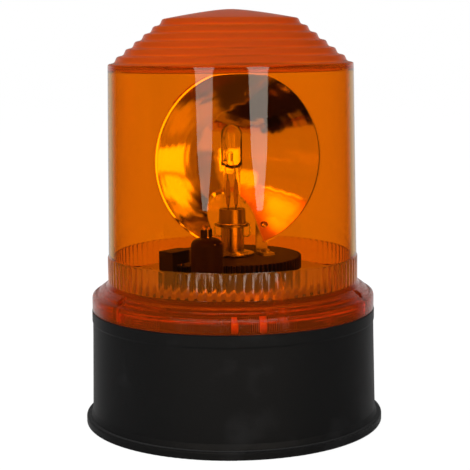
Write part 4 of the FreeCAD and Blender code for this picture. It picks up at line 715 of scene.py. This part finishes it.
CAD_FINISHES = {
    "boot_rubber": RUBBER, "black_moulding": BLACK_MOULDING, "grey_moulding": GREY_MOULDING,
    "screw_steel": SCREW_STEEL, "zinc_plate": ZINC_PLATE, "bright_tube": BRIGHT_TUBE,
    "gear_plastic": GEAR_PLASTIC, "bronze": BRONZE, "mirror_metal": MIRROR, "shaft_steel": SHAFT_STEEL,
    "tungsten": TUNGSTEN, "white_insulator": WHITE_INSULATOR, "lead_sheath": LEAD_SHEATH,
    "amber_lens": AMBER, "quartz": QUARTZ}
NODE_FINISHES = {"motor_sleeve": SLEEVE_RUBBER, "bulb_cap": DULL_CAP}


class Wardrobe:
    """Builds each finish once and dresses pieces with it."""

    def __init__(self) -> None:
        """Starts empty."""
        self.built: dict[str, bpy.types.Material] = {}

    def material(self, finish: Finish | GlassFinish) -> bpy.types.Material:
        """Finds the material of a finish, made the first time it is asked for.

        Args:
            finish: Finish that is wanted.

        Returns:
            Its material.
        """
        if finish.name not in self.built:
            self.built[finish.name] = finish.build()
        return self.built[finish.name]

    def dress_nodes(self) -> None:
        """Gives every CAD node the finish of its slot in the record."""
        slots = {part["node"]: part["material_slot"] for part in frame["record"]["subparts"]}
        for name, obj in frame["nodes"].items():
            material = self.material(NODE_FINISHES.get(name, CAD_FINISHES[slots[name]]))
            for number in range(len(obj.data.materials)):
                obj.data.materials[number] = material
            log.info("%s: %s", name, slots[name])

    def finish_piece(self, obj: bpy.types.Object, body: Body, finish: Finish | GlassFinish,
                     stands_for: tuple[str, ...] = ()) -> None:
        """Dresses a new piece and tells the frame about it.

        Args:
            obj: The piece.
            body: What it rides on.
            finish: Finish of the whole piece.
            stands_for: CAD nodes that it stands for.
        """
        obj.data.materials.clear()
        obj.data.materials.append(self.material(finish))
        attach(obj, body.value)
        if stands_for:
            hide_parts(*stands_for)
        log.info("%s: %d faces", obj.name, len(obj.data.polygons))


# Sub-assemblies


@dataclass
class StepLens:
    """Amber lens: skirt, flange, fluted band, drafted wall, rounded steps and a low cone.

    Sizes are in millimetres and azimuths in degrees. The flange's sloped shoulder starts at
    flange_edge, a chamfer inwards of its edge. Its groove is a line of (distance inwards from the
    edge, depth).
    """

    skirt_foot: float = 61.4
    flange_radius: float = 75.0
    flange_top: float = 74.0
    flange_edge: float = 69.2
    chamfer: float = 0.4
    slope_run: float = 6.6
    slope_end: float = 6.2
    groove: tuple[Point, ...] = ((1.7, 0.0), (2.1, 0.7), (3.4, 0.7), (3.8, 0.0))
    groove_rounding: tuple[float, ...] = (0.3, 0.2, 0.2, 0.3)
    ledge_radius: float = 67.6
    band_radius: float = 66.0
    band_foot: float = 76.0
    band_top: float = 89.5
    band_margin: float = 0.35
    flute_count: int = 90
    flute_depth: float = 0.36
    columns_per_flute: int = 6
    wall_foot_radius: float = 65.85
    wall_top_radius: float = 64.11
    wall_top: float = 190.06
    wall_rise: float = 0.5
    wall_ends: Point = (1.5, 2.5)
    step_count: int = 6
    step_run: float = 4.785
    step_rise: float = 3.842
    riser_height: float = 3.0
    riser_lean: float = 1.3
    corner: float = 0.9
    apex: float = 218.0
    nose: float = 9.0
    wall: float = 2.4
    wall_share_at_steps: float = 0.8
    inner_corner: float = 0.7
    inner_draft: float = 0.04
    inner_ends: float = 2.5
    inner_shoulder: float = 5.0
    screw_circle: float = 70.0
    screw_azimuths: tuple[float, ...] = (96.7, 216.7, 336.7)
    boss_radius: float = 3.6
    boss_rise: float = 0.3
    well_radius: float = 2.5
    hole_radius: float = 1.6
    seat: float = 68.0
    rib_azimuths: tuple[float, ...] = (30.5, 41.5, 150.5, 161.5, 270.5, 281.5)
    rib_depth: float = 2.1
    rib_width: float = 3.4
    rib_gap: float = 0.05
    rib_foot: float = 0.2
    rib_top: Point = (3.2, 5.2)
    rib_layers: tuple[Point, ...] = ((-1, 0.62), (-0.86, 0.9), (-0.6, 1), (0.6, 1), (0.86, 0.9), (1, 0.62))
    sharp_angle: float = 38.0

    def angles(self) -> np.ndarray:
        """Angles of the columns, the same number to each flute."""
        count = self.flute_count * self.columns_per_flute
        return np.linspace(0, 2 * math.pi, count, endpoint=False)

    def step_line(self, inward: float, downward: float, rounding: float) -> list[Triple]:
        """Corners of the steps from the wall's top inwards, as in the CAD model.

        Args:
            inward: How far the line lies inside the outer skin.
            downward: How far it lies under the outer skin.
            rounding: Reach of each corner's rounding.

        Returns:
            Radius, height and reach of each corner.
        """
        points: list[Triple] = []
        for k in range(self.step_count + 1):
            radius = self.wall_top_radius - k * self.step_run - inward
            height = self.wall_top + k * self.step_rise - downward
            if k:
                points.append((radius + self.riser_lean, height - self.riser_height, rounding))
            points.append((radius, height, rounding))
        return points

    def outer(self) -> np.ndarray:
        """Outer skin's profile from the skirt's foot to the apex, with rounded corners.

        Returns:
            Array (n, 2) of radius and height.
        """
        edge, band = self.flange_radius, self.band_radius
        slope = (self.flange_top - self.flange_edge) / self.slope_run
        shoulder = [(edge - inward, self.flange_edge + (inward - self.chamfer) * slope - depth, reach)
                    for (inward, depth), reach in zip((*self.groove, (self.slope_end, 0.0)),
                                                      (*self.groove_rounding, 0.3))]
        foot = (self.wall_foot_radius, self.band_top + self.wall_rise)
        heights = [foot[1] + self.wall_ends[0], self.wall_top - self.wall_ends[1]]
        radii = np.interp(heights, [foot[1], self.wall_top], [foot[0], self.wall_top_radius])
        corners = [(edge, self.skirt_foot, 0), (edge, self.flange_edge - 1.3, 0.5),
                   (edge - self.chamfer, self.flange_edge, 0.4), *shoulder,
                   (self.ledge_radius + 0.5, self.flange_top - 0.6, 0.3),
                   (self.ledge_radius, self.flange_top, 0.5),
                   (band, self.band_foot, 0.6), (band, self.band_foot + self.band_margin, 0),
                   (band, self.band_top - self.band_margin, 0), (band, self.band_top, 0), (*foot, 0.2),
                   *((radius, height, 0) for radius, height in zip(radii, heights)),
                   *self.step_line(0, 0, self.corner), (self.nose, self.apex, 0)]
        line = rounded(corners, 4)[:-1]
        top = crown(tuple(line[-1]), (self.nose, self.apex), (0, self.apex), 12)
        return np.concatenate([line, top[1:]])

    def inner(self) -> np.ndarray:
        """Inner skin's profile from under the apex down to the skirt's foot.

        Returns:
            Array (n, 2) of radius and height.
        """
        steps = self.step_line(self.wall * self.wall_share_at_steps, self.wall, self.inner_corner)[::-1]
        under, tip = self.flange_top - self.wall, self.apex - self.wall
        skirt, foot = self.flange_radius - self.wall, self.wall_foot_radius - self.wall
        top_radius, top, _ = steps[-1]
        corners = [*steps, (top_radius + self.inner_draft, top - self.inner_ends, 0),
                   (foot - self.inner_draft, self.band_top + self.inner_ends, 0),
                   (foot, self.band_top, 0), (foot, self.band_top - 2, 0), (foot, under + 2, 0),
                   (foot, under, self.inner_corner), (skirt - self.inner_shoulder, under, self.inner_corner),
                   (skirt, under - self.inner_shoulder, self.inner_corner), (skirt, self.skirt_foot, 0)]
        line = rounded(corners, 3)
        return np.concatenate([crown((0, tip), (self.nose, tip), tuple(line[0]), 10)[:-1], line])

    def bulges(self, profile: np.ndarray, angles: np.ndarray) -> np.ndarray:
        """Flutes: depth (1 - (2f - 1)^2) outwards, where f is the place across a flute from 0 to 1.

        Args:
            profile: Outer skin's profile.
            angles: Angles of the columns.

        Returns:
            Array (n, m) that is 0 outside the band.
        """
        inside = (profile[:, 1] > self.band_foot + 0.2) & (profile[:, 1] < self.band_top - 0.2)
        inside &= profile[:, 0] > self.band_radius - 0.1
        across = (angles * self.flute_count / (2 * math.pi)) % 1
        return inside[:, None] * self.flute_depth * (1 - (2 * across[None, :] - 1) ** 2)

    def drum(self, radius: float, low: float, high: float, azimuth: float) -> bpy.types.Object:
        """Upright round tool on the screw circle.

        Args:
            radius: Its radius.
            low: Height of its foot.
            high: Height of its top.
            azimuth: Direction from the lens's axis.

        Returns:
            The tool.
        """
        turn = np.linspace(0, 2 * math.pi, 48, endpoint=False)
        at = math.radians(azimuth)
        middle = np.array([self.screw_circle * math.cos(at), self.screw_circle * math.sin(at), 0]) * MM
        return capped("drum", revolved(np.array([(radius, low), (radius, high)]), turn) + middle)

    def rib(self, name: str, azimuth: float) -> bpy.types.Object:
        """Moulded rib inside the skirt: a side outline pushed out to both sides, its edges rounded.

        Args:
            name: Name of the piece.
            azimuth: Direction of the rib from the axis.

        Returns:
            The new object.
        """
        outer = self.flange_radius - self.wall - self.rib_gap
        inner, foot = outer - self.rib_depth, self.skirt_foot + self.rib_foot
        tops = [self.flange_top - self.wall - drop for drop in self.rib_top]
        outline = np.array([(inner, foot), (outer, foot), (outer, tops[1]), (inner, tops[0])])
        middle = outline.mean(0)
        sides, shrinks = np.array(self.rib_layers).T
        flat = (outline - middle) * shrinks[:, None, None] + middle
        aside = np.broadcast_to((sides * self.rib_width / 2)[:, None], flat.shape[:2])
        c, s = math.cos(math.radians(azimuth)), math.sin(math.radians(azimuth))
        points = np.stack([flat[..., 0] * c - aside * s, flat[..., 0] * s + aside * c, flat[..., 1]], -1)
        return capped(name, points * MM, Winding.FLIP)

    def frost(self, shell: bpy.types.Object, wardrobe: Wardrobe) -> None:
        """Gives the faces of the dome, the band and the skirt their own finish, by their height.

        Args:
            shell: The lens, already dressed.
            wardrobe: Holds the materials.
        """
        count = len(shell.data.polygons)
        middles = np.empty(count * 3)
        shell.data.polygons.foreach_get("center", middles)
        height = middles.reshape(-1, 3)[:, 2] / MM
        index = np.zeros(count, np.int32)
        zones = ((AMBER_DOME, self.wall_top - 0.4, self.apex + 1),
                 (AMBER_BAND, self.band_foot, self.band_top + 0.6), (AMBER_SKIRT, 0, self.band_foot))
        for number, (finish, low, high) in enumerate(zones, 1):
            shell.data.materials.append(wardrobe.material(finish))
            index[(height > low) & (height <= high)] = number
        shell.data.polygons.foreach_set("material_index", index)

    def build(self, wardrobe: Wardrobe) -> None:
        """Makes the lens and its moulded ribs.

        Args:
            wardrobe: Dresses the pieces.
        """
        angles = self.angles()
        outer, inner = self.outer(), self.inner()
        shell = closed_shell("lens_shell", revolved(outer, angles, self.bulges(outer, angles)),
                             revolved(inner, angles))
        tools = ((self.boss_radius, self.skirt_foot, self.flange_edge + self.boss_rise, Operation.JOIN),
                 (self.well_radius, self.seat, self.flange_top + 1, Operation.CUT),
                 (self.hole_radius, self.skirt_foot - 1, self.seat + 1, Operation.CUT))
        for azimuth in self.screw_azimuths:
            for radius, low, high, operation in tools:
                shape(shell, self.drum(radius, low, high, azimuth), operation)
        shell.data.polygons.foreach_set("use_smooth", np.ones(len(shell.data.polygons), bool))
        shell.data.set_sharp_from_angle(angle=math.radians(self.sharp_angle))
        wardrobe.finish_piece(shell, Body.BASE, AMBER, ("lens",))
        self.frost(shell, wardrobe)
        for number, azimuth in enumerate(self.rib_azimuths, 1):
            rib = self.rib(f"lens_rib_{number}", azimuth)
            wardrobe.finish_piece(rib, Body.BASE, FROSTED_AMBER)


@dataclass
class HalogenBulb:
    """What shows inside the quartz: coil, support wires and foils. Sizes are in millimetres."""

    coil: Point = (138.0, 143.0)
    coil_radius: float = 0.72
    coil_wire: float = 0.13
    coil_gap: float = 0.2
    turns: int = 11
    points_per_turn: int = 16
    leg_wire: float = 0.22
    far_leg: float = -2.4
    foot: float = 134.6
    pinch: Point = (107.4, 132.5)
    foil_place: float = 2.1
    foil_half: Point = (1.3, 0.05)
    foil_rows: int = 25
    pin_wire: float = 0.4

    def coil_path(self) -> np.ndarray:
        """Helix (R cos 2 pi n s, R sin 2 pi n s, low + s height) with s from 0 to 1.

        Returns:
            Array (n, 3) of places.
        """
        s = np.linspace(0, 1, self.turns * self.points_per_turn)
        turn = 2 * math.pi * self.turns * s
        low, high = self.coil
        return np.stack([self.coil_radius * np.cos(turn), self.coil_radius * np.sin(turn),
                         low + self.coil_gap + s * (high - low - 2 * self.coil_gap)], -1)

    def foil(self, name: str, middle: float, low: float, high: float) -> bpy.types.Object:
        """Thin foil in the pinch: its half width is sin(pi s)^0.3 times its widest.

        Args:
            name: Name of the piece.
            middle: Its place to the side of the bulb's axis.
            low: Height of its lower end.
            high: Height of its upper end.

        Returns:
            The new object.
        """
        s = np.linspace(0, 1, self.foil_rows)[:, None]
        wide, thick = self.foil_half
        ring = np.array([(-1, -1), (1, -1), (1, 1), (-1, 1)], float)
        x = middle + ring[:, 0] * (wide * np.maximum(np.sin(math.pi * s), 0.02) ** 0.3)
        y = np.broadcast_to(ring[:, 1] * thick, x.shape)
        z = np.broadcast_to(low + s * (high - low), x.shape)
        return capped(name, np.stack([x, y, z], -1) * MM, smooth=False)

    def build(self, wardrobe: Wardrobe) -> None:
        """Makes the coil with its legs, the foils and the pins below them.

        Args:
            wardrobe: Dresses the pieces.
        """
        (low, high), (pinch_low, pinch_high) = self.coil, self.pinch
        coil = tube("filament_coil", self.coil_path(), self.coil_wire, 8)
        wardrobe.finish_piece(coil, Body.BASE, TUNGSTEN, ("bulb_filament",))
        legs = {"filament_leg_short": [(self.coil_radius, 0, low + self.coil_gap), (0.75, 0, low - 1.2),
                                       (1.6, 0, self.foot - 1.4), (self.foil_place, 0, pinch_high - 4)],
                "filament_leg_tall": [(self.coil_radius, 0, high - self.coil_gap), (0.2, 0, high + 0.6),
                                      (-1.6, 0, high + 0.5), (self.far_leg, 0, high - 0.8),
                                      (self.far_leg, 0, self.foot), (-self.foil_place, 0, pinch_high - 4)]}
        for name, points in legs.items():
            leg = tube(name, soft_line(points), self.leg_wire, 8)
            wardrobe.finish_piece(leg, Body.BASE, TUNGSTEN)
        for side, x in (("left", -self.foil_place), ("right", self.foil_place)):
            foil = self.foil(f"foil_{side}", x, pinch_low + 7, pinch_high - 3.4)
            wardrobe.finish_piece(foil, Body.BASE, MOLYBDENUM)
            heights = (pinch_low + 0.4, pinch_low + 4, pinch_low + 8.2)
            pin = tube(f"pin_{side}", np.array([(x, 0, z) for z in heights]), self.pin_wire, 10)
            wardrobe.finish_piece(pin, Body.BASE, SHAFT_STEEL)


@dataclass
class SuppressorLeads:
    """The suppressor's two wires, bent down its front and soldered on top of the motor's sleeve.

    Sizes are in millimetres and the azimuth in degrees. Reach is how far the suppressor's front is
    from the motor's axis, top its height and crown the height of the sleeve's top.
    """

    motor: Point = (-12.665, -44.22)
    azimuth: float = -41.35
    reach: float = 1.8
    spread: float = 1.7
    crown: float = 104.7
    top: float = 108.7
    wire: float = 0.28
    blob: Triple = (0.72, 0.72, 0.62)

    def place(self, outward: float, aside: float, height: float) -> Triple:
        """Finds a point by its distances from the motor's axis.

        Args:
            outward: Distance in front of the axis.
            aside: Distance to the side.
            height: Height over the floor.

        Returns:
            The place.
        """
        c, s = math.cos(math.radians(self.azimuth)), math.sin(math.radians(self.azimuth))
        return (self.motor[0] + outward * c - aside * s, self.motor[1] + outward * s + aside * c, height)

    def build(self, wardrobe: Wardrobe) -> None:
        """Makes both wires and their blobs of solder.

        Args:
            wardrobe: Dresses the pieces.
        """
        front = self.reach + self.wire
        line = ((self.reach - 1.2, self.top + 0.1), (self.reach - 0.6, self.top + 0.55),
                (front + 0.2, self.top + 0.4), (front + 0.2, self.top - 1.6),
                (front + 0.25, self.crown + 0.3))
        for side, aside in (("left", -self.spread), ("right", self.spread)):
            path = soft_line([self.place(outward, aside, height) for outward, height in line])
            wire = tube(f"suppressor_wire_{side}", path, self.wire, 8)
            wardrobe.finish_piece(wire, Body.BASE, SHAFT_STEEL)
            blob = bead(f"solder_{side}", self.place(front + 0.3, aside, self.crown + 0.25), self.blob)
            wardrobe.finish_piece(blob, Body.BASE, SOLDER)


# Studio


@dataclass(frozen=True)
class Window:
    """Bright or dark field of the surroundings that only the bowl shows.

    Azimuth is 0 towards the camera and grows to the right, in degrees. Bounces says whether rays
    with one or two bounces off the mirror see it. Strength is its brightness, where 1 is white, and
    soft is the width of its edge in degrees.
    """

    azimuths: Point
    heights: Point
    strength: float
    bounces: Bounces
    soft: float = 2.5

    def mask(self, n: Nodes, azimuth: Socket, height: Socket, gate: Socket) -> Socket:
        """Adds nodes for a field with soft edges.

        Args:
            n: Helper of the world's node tree.
            azimuth: Azimuth of the ray in degrees.
            height: Height of the ray over the horizon in degrees.
            gate: 1 for rays that may see the window.

        Returns:
            Socket with 1 inside the field and 0 outside.
        """
        mask = gate
        for value, (low, high) in ((azimuth, self.azimuths), (height, self.heights)):
            middle, half = (low + high) / 2, (high - low) / 2
            away = n.math("ABSOLUTE", n.math("SUBTRACT", value, middle))
            edge = n.math("DIVIDE", n.math("SUBTRACT", half + self.soft / 2, away), self.soft, clamp=True)
            mask = n.math("MULTIPLY", mask, edge)
        return mask


@dataclass(frozen=True)
class LightPanel:
    """Upright tapered light panel that shines in the lens's gloss, narrow below and wide above.

    Azimuth is the direction of its middle from the object, 0 towards the camera and growing to the
    right, in degrees. Lengths are in metres, and the shoulder and the foot have their share of the
    top's width. Strength is its brightness, where 1 is white.
    """

    name: str
    azimuth: float
    width: float
    strength: float
    distance: float = 0.56
    low: float = 0.074
    high: float = 0.32
    shoulder: float = 0.125
    shoulder_share: float = 0.62
    foot_share: float = 0.22
    colour: Triple = (1, 0.89, 0.75)

    def build(self) -> None:
        """Makes the panel. Only rays that haven't been through glass see it."""
        at = math.radians(self.azimuth - 90)
        middle = np.array([math.cos(at), math.sin(at), 0]) * self.distance
        half = np.array([-math.sin(at), math.cos(at), 0]) * self.width / 2
        outline = ((-self.foot_share, self.low), (self.foot_share, self.low),
                   (self.shoulder_share, self.shoulder), (1, self.high), (-1, self.high),
                   (-self.shoulder_share, self.shoulder))
        points = np.array([middle + half * share + np.array([0, 0, height]) for share, height in outline])
        panel = put_mesh(self.name, points, [list(range(len(outline)))], smooth=False)
        material, n = new_material(self.name + "_finish")
        depth = n.add("ShaderNodeLightPath").outputs["Transmission Depth"]
        first = n.math("LESS_THAN", depth, NO_GLASS)
        glow = n.add("ShaderNodeEmission", {"Color": (*self.colour, 1), "Strength": self.strength})
        n.end(n.mix_shaders(first, n.add("ShaderNodeBsdfTransparent"), glow))
        panel.data.materials.append(material)
        panel.visible_camera = False
        panel.visible_diffuse = False
        panel.visible_transmission = False
        panel.visible_shadow = False


@dataclass(frozen=True)
class Lamp:
    """Square soft lamp: its place and side in metres, its power in watts."""

    name: str
    place: Triple
    power: float
    side: float

    def build(self, aim: Triple) -> None:
        """Makes the lamp, which reflections and glass don't show.

        Args:
            aim: Where it points.
        """
        data = bpy.data.lights.new(self.name, "AREA")
        data.energy = self.power
        data.size = self.side
        lamp = bpy.data.objects.new(self.name, data)
        lamp.location = self.place
        lamp.rotation_euler = (Vector(aim) - Vector(self.place)).to_track_quat("-Z", "Y").to_euler()
        lamp.visible_glossy = False
        lamp.visible_transmission = False
        lamp.visible_camera = False
        bpy.context.scene.collection.objects.link(lamp)


@dataclass
class Studio:
    """Floor, world, lamps and the camera at the photograph's place.

    The world's levels are brightnesses, where 1 is white. Its spans are parts of the ray's direction:
    behind along Y, upper along Z.
    """

    camera_place: Triple = (0.0, -0.6979, 0.2015)
    camera_lens: float = 101.4
    pitch: float = 0.1455
    yaw: float = 0.002
    roll: float = -0.010
    floor_rings: Triple = (0.3, 1.0, 8.0)
    floor_sides: int = 64
    floor_colour: Triple = (0.9, 0.9, 0.9)
    floor_white: float = 1.04
    floor_share: float = 0.93
    behind_span: Point = (0.66, 0.92)
    behind_levels: Point = (0.015, 0.6)
    upper_span: Point = (0.02, 0.35)
    upper_levels: Point = (1.0, 0.22)
    soft_level: float = 0.5
    windows: tuple[Window, ...] = (
        Window((38, 80), (-6, 10), 5.6, Bounces.TWICE),
        Window((31, 66), (12, 27), 5.6, Bounces.TWICE, 3),
        Window((26, 50), (26, 36), 2.4, Bounces.TWICE, 6),
        Window((36, 66), (-36, -15), 1.6, Bounces.TWICE, 5),
        Window((-8, 16), (-45, 12), 0.1, Bounces.TWICE, 4),
        Window((16, 36), (-12, 17), 0.6, Bounces.TWICE, 6),
        Window((14, 60), (-60, -33), 0.12, Bounces.TWICE, 5),
        Window((2, 26), (12, 60), 0.15, Bounces.TWICE, 5),
        Window((-50, -19), (42, 76), 12.0, Bounces.ONCE, 5),
        Window((10, 44), (-14, 20), 5.6, Bounces.ONCE, 4),
        Window((-10, 18), (20, 58), 4.0, Bounces.ONCE, 6),
        Window((52, 90), (-12, 45), 0.35, Bounces.ONCE, 6))
    lamps: tuple[Lamp, ...] = (
        Lamp("key", (-1.5, -0.5, 0.9), 17.0, 0.8), Lamp("fill", (1.2, -0.9, 0.9), 7.0, 0.9),
        Lamp("top", (0.0, 0.2, 1.6), 8.0, 1.0))
    lamp_aim: Triple = (0, 0, 0.12)
    panels: tuple[LightPanel, ...] = (
        LightPanel("panel_left", -22.7, 0.20, 3.9), LightPanel("panel_right", 23.4, 0.22, 4.6))

    def camera(self) -> None:
        """Places the camera: its own axes are worked out from pitch, yaw and roll."""
        data = bpy.data.cameras.new("camera")
        data.lens = self.camera_lens
        data.sensor_width = 36.0
        data.clip_start = 0.01
        data.clip_end = 50.0
        level = Vector((math.cos(self.yaw), -math.sin(self.yaw), 0.0))
        flat = math.cos(self.pitch)
        forward = Vector((math.sin(self.yaw) * flat, math.cos(self.yaw) * flat, -math.sin(self.pitch)))
        upward = level.cross(forward)
        right = math.cos(self.roll) * level + math.sin(self.roll) * upward
        up = -math.sin(self.roll) * level + math.cos(self.roll) * upward
        turn = Matrix((right, up, -forward)).transposed().to_4x4()
        camera = bpy.data.objects.new("camera", data)
        camera.matrix_world = Matrix.Translation(self.camera_place) @ turn
        bpy.context.scene.collection.objects.link(camera)
        bpy.context.scene.camera = camera

    def floor(self) -> None:
        """Pale floor that shows white to the camera and keeps the object's shadow."""
        rows, columns = len(self.floor_rings), self.floor_sides
        turn = np.linspace(0, 2 * math.pi, columns, endpoint=False)
        radius = np.array(self.floor_rings)[:, None]
        rings = np.stack([radius * np.cos(turn), radius * np.sin(turn), np.zeros((rows, columns))], -1)
        points = np.concatenate([rings.reshape(-1, 3), [[0, 0, 0]]])
        faces = ring_faces(rows, columns, Winding.FLIP) + fan(rows * columns, 0, columns, Winding.KEEP)
        plate = put_mesh("floor", points, faces)
        material, n = new_material("floor_finish")
        pale = n.add("ShaderNodeBsdfDiffuse", {"Color": (*self.floor_colour, 1)})
        white = n.add("ShaderNodeEmission", {"Color": WHITE, "Strength": self.floor_white})
        seen = n.math("MULTIPLY", n.add("ShaderNodeLightPath").outputs["Is Camera Ray"], self.floor_share)
        n.end(n.mix_shaders(seen, pale, white))
        plate.data.materials.append(material)
        plate.visible_glossy = False
        plate.visible_transmission = False

    def inside(self, n: Nodes, direction: tuple[Socket, ...], bounced: Socket, depth: Socket) -> Socket:
        """Adds nodes for white surroundings with the bright and dark windows in them.

        Args:
            n: Helper of the world's node tree.
            direction: X, Y and Z of the ray.
            bounced: 1 for rays with a bounce or more.
            depth: Number of bounces.

        Returns:
            Brightness of the surroundings.
        """
        x, y, z = direction
        azimuth = n.math("MULTIPLY", n.math("ARCTAN2", x, n.math("MULTIPLY", y, -1.0)), 180 / math.pi)
        height = n.math("MULTIPLY", n.math("ARCSINE", z), 180 / math.pi)
        twice = n.math("GREATER_THAN", depth, TWO_BOUNCES)
        gates = {Bounces.ONCE: n.math("SUBTRACT", bounced, twice), Bounces.TWICE: twice}
        level: Value = 1.0
        for window in self.windows:
            mask = window.mask(n, azimuth, height, gates[window.bounces])
            level = n.math("ADD", n.math("MULTIPLY", mask, window.strength - 1), level)
        return n.math("MAXIMUM", level, 0.0)

    def world(self) -> None:
        """White surroundings for the camera and glass, soft grey light, and what reflections see.

        A ray that is thrown back by the lens's outer or inner face sees white only behind the object,
        and less of it above. A ray that has been through the lens and off the bowl sees white with
        the bright and dark windows in it.
        """
        world = bpy.data.worlds.new("studio")
        bpy.context.scene.world = world
        world.use_nodes = True
        n = Nodes(world.node_tree)
        path = n.add("ShaderNodeLightPath").outputs
        place = n.add("ShaderNodeTexCoord").outputs["Generated"]
        x, y, z = n.add("ShaderNodeSeparateXYZ", {0: place}).outputs
        outside = n.math("MULTIPLY", n.ramp(y, self.behind_span, self.behind_levels),
                         n.ramp(z, self.upper_span, self.upper_levels))
        bounced = n.math("GREATER_THAN", path["Glossy Depth"], ONE_BOUNCE)
        inside = self.inside(n, (x, y, z), bounced, path["Glossy Depth"])
        deep = n.math("GREATER_THAN", path["Transmission Depth"], BACK_THROUGH_LENS)
        through = n.math("MAXIMUM", deep, n.math("SUBTRACT", 1.0, bounced))
        glossy = n.math("MAXIMUM", path["Is Glossy Ray"], path["Is Transmission Ray"])
        lit = n.mix_values(glossy, self.soft_level, n.mix_values(through, outside, inside))
        seen = n.math("MAXIMUM", path["Is Camera Ray"], lit)
        back = n.add("ShaderNodeBackground", {"Color": WHITE, "Strength": seen})
        n.end(back.outputs[0], "ShaderNodeOutputWorld")

    def build(self) -> None:
        """Sets the whole studio up."""
        bpy.context.scene.view_settings.view_transform = "Standard"
        self.camera()
        self.floor()
        self.world()
        for lamp in self.lamps:
            lamp.build(self.lamp_aim)
        for panel in self.panels:
            panel.build()


def main() -> None:
    """Builds the studio and every sub-assembly in order."""
    logging.basicConfig(level=logging.INFO, format="%(name)s %(message)s")
    Studio().build()
    wardrobe = Wardrobe()
    wardrobe.dress_nodes()
    StepLens().build(wardrobe)
    HalogenBulb().build(wardrobe)
    SuppressorLeads().build(wardrobe)


if __name__ == "__main__":
    main()
